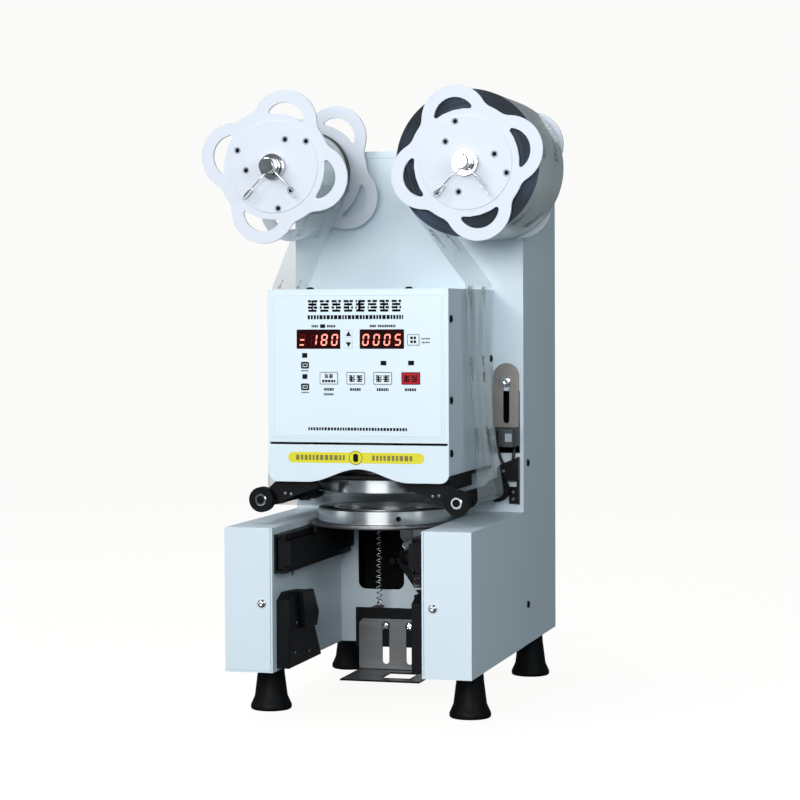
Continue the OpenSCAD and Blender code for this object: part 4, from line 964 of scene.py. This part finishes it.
def print_group(built, start, place, out):
    """A plain mark and a few rows of dashes along the film, printed on both halves of its width."""
    rows = ((0, 3.4, 9, 2), (6, 2, 16, 4), (10, 2, 22, 5), (14.6, 1.2, 14, 6))
    ink_t, dash_share = 0.04, 0.72
    for y0 in (-84, -30):
        for shift, thick, length, pieces in rows:
            for k in range(pieces):
                a = start + k * length / pieces
                b = a + length / pieces * dash_share
                y = y0 + shift
                corners = ((a, y), (b, y), (b, y + thick), (a, y + thick))
                top = [built.verts.new(place(s, across, out)) for s, across in corners]
                low = [built.verts.new(place(s, across, out - ink_t)) for s, across in corners]
                built.faces.new(top)
                built.faces.new(low[::-1])
                bridge(built, [top, low])


def wound_roll(side, outer, y1, replaced, end_finish):
    """A wound roll with its print: its side is film, and its ends show the edges of the turns."""
    word = SIDES[side]
    name, body = "wound_film_" + word, "reel_" + word
    centre = Vector((side * REEL_X, 0, REEL_Z))
    steps, uneven = 26, 0.35
    built = bmesh.new()
    front, back = [], []
    for k in range(steps + 1):
        r = BORE_R + (outer - BORE_R) * k / steps
        front.append((FILM_Y0 + random.uniform(0, uneven), r))
        back.append((y1 - random.uniform(0, uneven), r))
    front[-1], back[-1] = (FILM_Y0 + 0.1, outer), (y1 - 0.1, outer)
    add_lathe(built, front + back[::-1], centre, (0, 1, 0), 128)
    piece = add_piece(name, built, end_finish, body, 50)
    piece.data.materials.append(finishes["film_wound"])
    for face in piece.data.polygons:
        from_axis = face.center - centre * MM
        if abs(face.normal.y) < 0.3 and math.hypot(from_axis.x, from_axis.z) > (outer - 1) * MM:
            face.material_index = 1
    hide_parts(replaced)
    marks = bmesh.new()
    girth = 2 * math.pi * outer
    groups = max(3, int(girth / PRINT_STEP))

    def place(s, y, out):
        a = s / outer
        return centre + Vector(((outer + out) * math.cos(a), y, (outer + out) * math.sin(a)))
    for k in range(groups):
        print_group(marks, k * girth / groups + 4, place, 0.08)
    add_piece(name + "_print", marks, "film_print", body)


def core_ring(side, r, front_y):
    """The black ring behind a roll."""
    word = SIDES[side]
    rear_y, chamfer = FILM_Y1 + 1.6, 1.2
    profile = [(front_y, BORE_R), (front_y, r), (FILM_Y1 + 0.8, r), (rear_y, r - chamfer), (rear_y, BORE_R)]
    lathe_piece("core_ring_" + word, profile, (REEL_X * side, 0, REEL_Z), (0, 1, 0), 96,
                "socket", "reel_" + word)


def make_rolls():
    core_y1 = FILM_Y1 - 6
    wound_roll(1, ROLL_R, FILM_Y1, "film_roll_right", "film_roll_end")
    wound_roll(-1, CORE_R, core_y1, "film_core_left", "core_end")
    core_ring(-1, CORE_R + 1.2, core_y1)
    core_ring(1, ROLL_R - 0.6, FILM_Y1 - 0.2)


# Reels: painted shade in the countersinks round the holes and in the holes, and the loop at the end of each
# wire pin
def flange_holes(side, y):
    """The screw holes of a front flange: three on each of two circles."""
    first_turn = 15 if side > 0 else 66
    for k in range(3):
        for radius, shift in ((26.4, 0), (37.6, -30)):
            x, z = on_circle((REEL_X * side, REEL_Z), radius, math.radians(first_turn + 120 * k + shift))
            yield x, y, z


def make_reel_trim():
    """A raised rim round each hole of the front flanges, darker than the flange as painted shade of the
    countersink, and a black disc in each hole as painted shade.
    """
    rim = [(-0.6, 2.0), (0, 2.0), (0.25, 2.5), (0.25, 3.1), (0, 3.3), (-0.6, 3.3)]
    dark_disc = [(0, 0), (0, 1.95), (-1.6, 1.95), (-1.6, 0)]
    for side, word in SIDES.items():
        rims = bmesh.new()
        for spot in flange_holes(side, -99.8):
            add_lathe(rims, rim, spot, TO_FRONT, 28)
        add_piece("hole_rims_" + word, rims, "countersink_painted_shade", "reel_" + word)
        # Black discs set in the holes: painted shade.
        shade_discs = bmesh.new()
        for spot in flange_holes(side, -98.6):
            add_lathe(shade_discs, dark_disc, spot, TO_FRONT, 20)
        add_piece("hole_shade_discs_" + word, shade_discs, "print_black", "reel_" + word)


# Small parts: the spring, the cable, hooks and trim
def make_spring():
    """The tension spring behind the cup stop. On the machine it shortens as the stop rises; here it has one
    fixed length.
    """
    coil_r, wire_r, pitch, turns = 2.35, 0.6, 5.1, 13
    x, y, low, coil_z, high = -23.3, 8, 81.5, 85.5, 155.8
    hook_steps, hook_rise, hook_opening = 8, 1.6, 0.4
    steps = 20 * turns

    def hook(middle_z, start, sweep):
        """Three quarters of an upright ring, at one end of the spring."""
        for k in range(hook_steps + 1):
            a = math.radians(start + sweep * k / hook_steps)
            hook_x, hook_z = on_circle((x, middle_z), 0.9 * coil_r, a)
            yield hook_x, y, hook_z
    route = [point for point in hook(low + hook_rise, -90, 270) if point[2] > low - hook_opening]
    for i in range(steps + 1):
        turn = turns * i / steps
        route.append((*on_circle((x, y), coil_r, 2 * math.pi * turn), coil_z + pitch * turn))
    route += [point for point in hook(high - hook_rise, 180, -270) if point[2] < high + hook_opening]
    built = bmesh.new()
    add_tube(built, route, wire_r, 10)
    spring = add_piece("lift_spring", built, "chrome", "frame", 60)
    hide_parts("stop_spring")
    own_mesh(spring)


# The sensor cable's route, the same as in part.scad
CABLE_ROUTE = [
    (88, 25, 232), (88, 25, 228.5), (88.9, 25.4, 224), (90.4, 26.3, 219), (92.6, 27, 215),
    (95.9, 27.1, 212.5), (99, 27.1, 213.5), (101.3, 27.1, 217.5), (102.2, 27.2, 223), (102.3, 28, 228.2),
    (102.3, 31, 231), (102.3, 37, 231.5)]
CABLE_R = 1.5


def make_cable():
    """The sensor's cable, which leaves the column and turns up into the fork."""
    route = smooth_route(CABLE_ROUTE, 4)
    built = bmesh.new()
    add_tube(built, route, CABLE_R, 16)
    cable = add_piece("sensor_lead", built, "cable", None, 60)
    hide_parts("sensor_cable")
    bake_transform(cable)


def make_rollers():
    """The chrome ring and the black nut on the front end of each guide roller."""
    ring_profile = [(-1, 3.1), (0.6, 3.1), (1.1, 3.5), (1.1, 4.6), (0.5, 5.3), (-1, 5.3)]
    nut_y0, nut_y1, nut_r = -141.1, -136.5, 2.9
    for side, word in SIDES.items():
        lathe_piece("roller_ring_" + word, ring_profile, (ROLLER_X * side, -140, ROLLER_Z), TO_FRONT, 40,
                    "chrome", "roller_" + word)
        nut = bmesh.new()
        add_prism(nut, hexagon(nut_r, ROLLER_X * side, ROLLER_Z), nut_y0, nut_y1)
        add_piece("roller_nut_" + word, nut, "print_black", "roller_" + word)


def leg_directions(degrees):
    """The way that a leg of the pin points in the XZ plane, and the way across it."""
    heading = Vector((math.cos(math.radians(degrees)), 0, math.sin(math.radians(degrees))))
    return heading, Vector((-heading.z, 0, heading.x))


def make_pin_loops():
    """The ends of the wire pins: a long eye on the left leg, and a kink on the right one."""
    wire_r, eye_l, eye_w = 0.62, 6.4, 1.9
    for side, word in SIDES.items():
        built = bmesh.new()
        start = Vector((REEL_X * side, -109, REEL_Z))
        heading, across = leg_directions(226)
        middle = start + heading * 32
        eye = []
        for k in range(25):
            a = 2 * math.pi * k / 24
            eye.append(middle + heading * (eye_l * math.cos(a)) + across * (eye_w * math.sin(a) + eye_w)
                       + Vector((0, -0.4 * math.sin(a / 2), 0)))
        add_tube(built, eye, wire_r, 10)
        heading, across = leg_directions(308)
        tip = start + heading * 27
        kink = [tip, tip + heading * 1.5 - across * 1.2, tip + heading * 4.5 - across * 0.2,
                tip + heading * 9]
        add_tube(built, smooth_route(kink, 5), wire_r, 10)
        add_piece("pin_ends_" + word, built, "chrome", "reel_" + word, 60)


def make_sensor_trim():
    """The fork sensor's label, ribs and lamp."""
    low, high = (Vector(c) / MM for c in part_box("film_sensor"))
    label = bmesh.new()
    outline = rounded(high.x - 7.4, high.x - 1, low.z + 5, low.z + 12.6, 0.4)
    add_prism(label, outline, low.y - 0.12, low.y)
    add_piece("sensor_label", label, "label", "sensor")
    ribs = bmesh.new()
    rib_step, rib_w = 0.55, 0.25
    for k in range(5):
        x = high.x - 10.6 + k * rib_step
        add_box(ribs, (x, low.y - 0.35, low.z + 2), (x + rib_w, low.y, high.z - 2))
    for x in (low.x + 1.2, high.x - 9.9):
        add_box(ribs, (x, low.y - 0.3, high.z - 3.2), (x + 3.4, low.y, high.z - 1.2))
    add_piece("sensor_ribs", ribs, "sensor_body", "sensor")
    lamp = [(-0.3, 0), (-0.3, 1), (0.3, 0.9), (0.6, 0)]
    lathe_piece("sensor_lamp", lamp, (low.x + 4.2, low.y, low.z + 8.5), TO_FRONT, 20,
                "label", "sensor")


def small_screw(name, r):
    """A small screw with a six-sided socket."""
    blank = bmesh.new()
    profile = [(0.9, 0), (0.85, r * 0.5), (0.55, r * 0.85), (0, r), (-1.5, r * 0.5), (-1.5, 0)]
    add_lathe(blank, profile, (0, 0, 0), (0, 0, 1), 24)
    return cut_recess(blank, [hex_cutter(0.45 * r, 0.35, 4)], name)


def make_fixing_screws():
    """The small screws of the rails, the arm brackets, the skirts and the roller brackets."""
    places = []
    for side in SIDES:
        for y in (-150, -60, 5):
            places.append(((57 * side, y, 147), (-side, 0, 0), random.uniform(0, 60)))
        for y, z in ((-148, 58), (-144, 84), (-108, 54)):
            places.append(((BRACKET_X * side, y, z), (-side, 0, 0), random.uniform(0, 60)))
        for x, z in ((65, 196), (70.5, 196.6)):
            places.append(((x * side, -128, z), TO_FRONT, 20))
        places.append(((93.5 * side, 22, 208.5), TO_FRONT, 40))
        for z in (182, 188.5):
            places.append(((101.4 * side, 28, z), TO_FRONT, 10))
    place_screws("fixing_screws", small_screw("socket_screw", 1.7), places, "dark_steel")


def make_brackets():
    """The black brackets on the arms' inner walls: a plate, and a thicker block on it."""
    plate = [(-165, 46), (-72, 46), (-94, 79), (-98, 92), (-112, 110), (-152, 112), (-165, 106)]
    block_outline = [(-133, 78), (-98, 76), (-92, 88), (-108, 110), (-140, 111)]
    brackets = bmesh.new()
    for side in SIDES:
        add_cross_prism(brackets, plate, BRACKET_X * side, 66.8 * side)
        add_cross_prism(brackets, block_outline, 50.7 * side, BRACKET_X * side)
    piece = add_piece("bracket_blocks", brackets, "black_steel", "frame")
    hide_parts("arm_brackets")
    ease(piece, 0.6)


def make_ring_plug():
    """The set screw in the lower ring's rim."""
    x, z = 27.4, 173.5
    y = -math.sqrt(RING_R ** 2 - x * x)
    dark_disc = [(0, 0), (0, 2.1), (0.15, 2.4), (-0.6, 2.4), (-0.6, 0)]
    lathe_piece("ring_set_screw", dark_disc, (x, RING_Y + y, z), (x, y, 0), 28,
                "print_black", "tray")


def make_liners():
    """Dark boxes behind the openings in the column's front: painted shade, standing in for the dark inside
    the column.
    """
    wall = 1.2
    for name, x0, x1, z0, z1, y0, y1 in (("lever_opening_shade_box", -53, -2, 91, 163, 35.5, 60),
                                         ("sensor_opening_shade_box", 78, 108.5, 221, 287, 39, 62)):
        built = bmesh.new()
        add_box(built, (x0, y1 - wall, z0), (x1, y1, z1))
        add_box(built, (x0, y0, z0), (x0 + wall, y1 - wall, z1))
        add_box(built, (x1 - wall, y0, z0), (x1, y1 - wall, z1))
        add_box(built, (x0 + wall, y0, z0), (x1 - wall, y1 - wall, z0 + wall))
        add_box(built, (x0 + wall, y0, z1 - wall), (x1 - wall, y1 - wall, z1))
        add_piece(name, built, "painted_shade_lining", "frame")


def make_lever():
    """The release lever of the cup stop: a flat arm on the column, a flag under the tray, and its hook."""
    arm = bmesh.new()
    y0, y1 = 26.4, 29.8
    outline = [(-8, 131), (0, 133), (4, 124), (6, 112), (26, 78), (21, 75), (-2, 108), (-9, 118)]
    add_prism(arm, outline, y0, y1)
    add_lathe(arm, [(0, 0), (0, 6), (2.2, 6), (2.6, 5.4), (2.6, 0)], (-1, y0, 124), TO_FRONT, 32)
    add_lathe(arm, [(0, 0), (0, 3), (8, 3), (8, 0)], (-14, y0 + 2, 122), TO_FRONT, 24)
    add_box(arm, (-16, 27, 119), (0, 29.6, 124.5))
    add_piece("release_lever", arm, "black_steel", "frame")
    flag = bmesh.new()
    add_prism(flag, [(-7, 160), (4, 160), (4, 145), (1.5, 141.5), (-4.5, 141.5), (-7, 145)], 24, 25.6)
    add_box(flag, (-7, 24, 158.4), (4, 29.8, 160))
    add_piece("lever_flag", flag, "dark_steel", "frame")
    hook = bmesh.new()
    hook_turns = (math.radians(a) for a in range(60, 321, 20))
    turn = [(-1.5 + 2.6 * math.cos(a), 22.6, 137.5 + 2.9 * math.sin(a)) for a in hook_turns]
    add_tube(hook, [(-0.2, 25.2, 143), (-0.2, 22.8, 142)] + turn, 0.75, 12)
    add_piece("lever_hook", hook, "chrome", "frame", 60)


def make_inlet_pins():
    """The three contacts inside the mains inlet."""
    half_w, half_h = 1, 2.1
    built = bmesh.new()
    low, high = (Vector(c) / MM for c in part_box("power_inlet"))
    middle_x, middle_z = (low.x + high.x) / 2, (low.z + high.z) / 2
    for dx, dz in ((-6.5, -2.6), (6.5, -2.6), (0, 2.8)):
        x, z = middle_x + dx, middle_z + dz
        add_box(built, (x - half_w, high.y - 17, z - half_h), (x + half_w, high.y - 4, z + half_h))
    add_piece("inlet_pins", built, "die", "frame")


make_camera()
make_studio()
make_finishes()
dress_nodes()
make_cable()
make_panel_print()
for key_name in KEYS:
    legend(key_name)
make_digits()
make_visor_strip()
make_screws()
make_film()
make_rolls()
make_reel_trim()
make_spring()
make_rollers()
make_pin_loops()
make_sensor_trim()
make_fixing_screws()
make_brackets()
make_ring_plug()
make_liners()
make_lever()
make_inlet_pins()
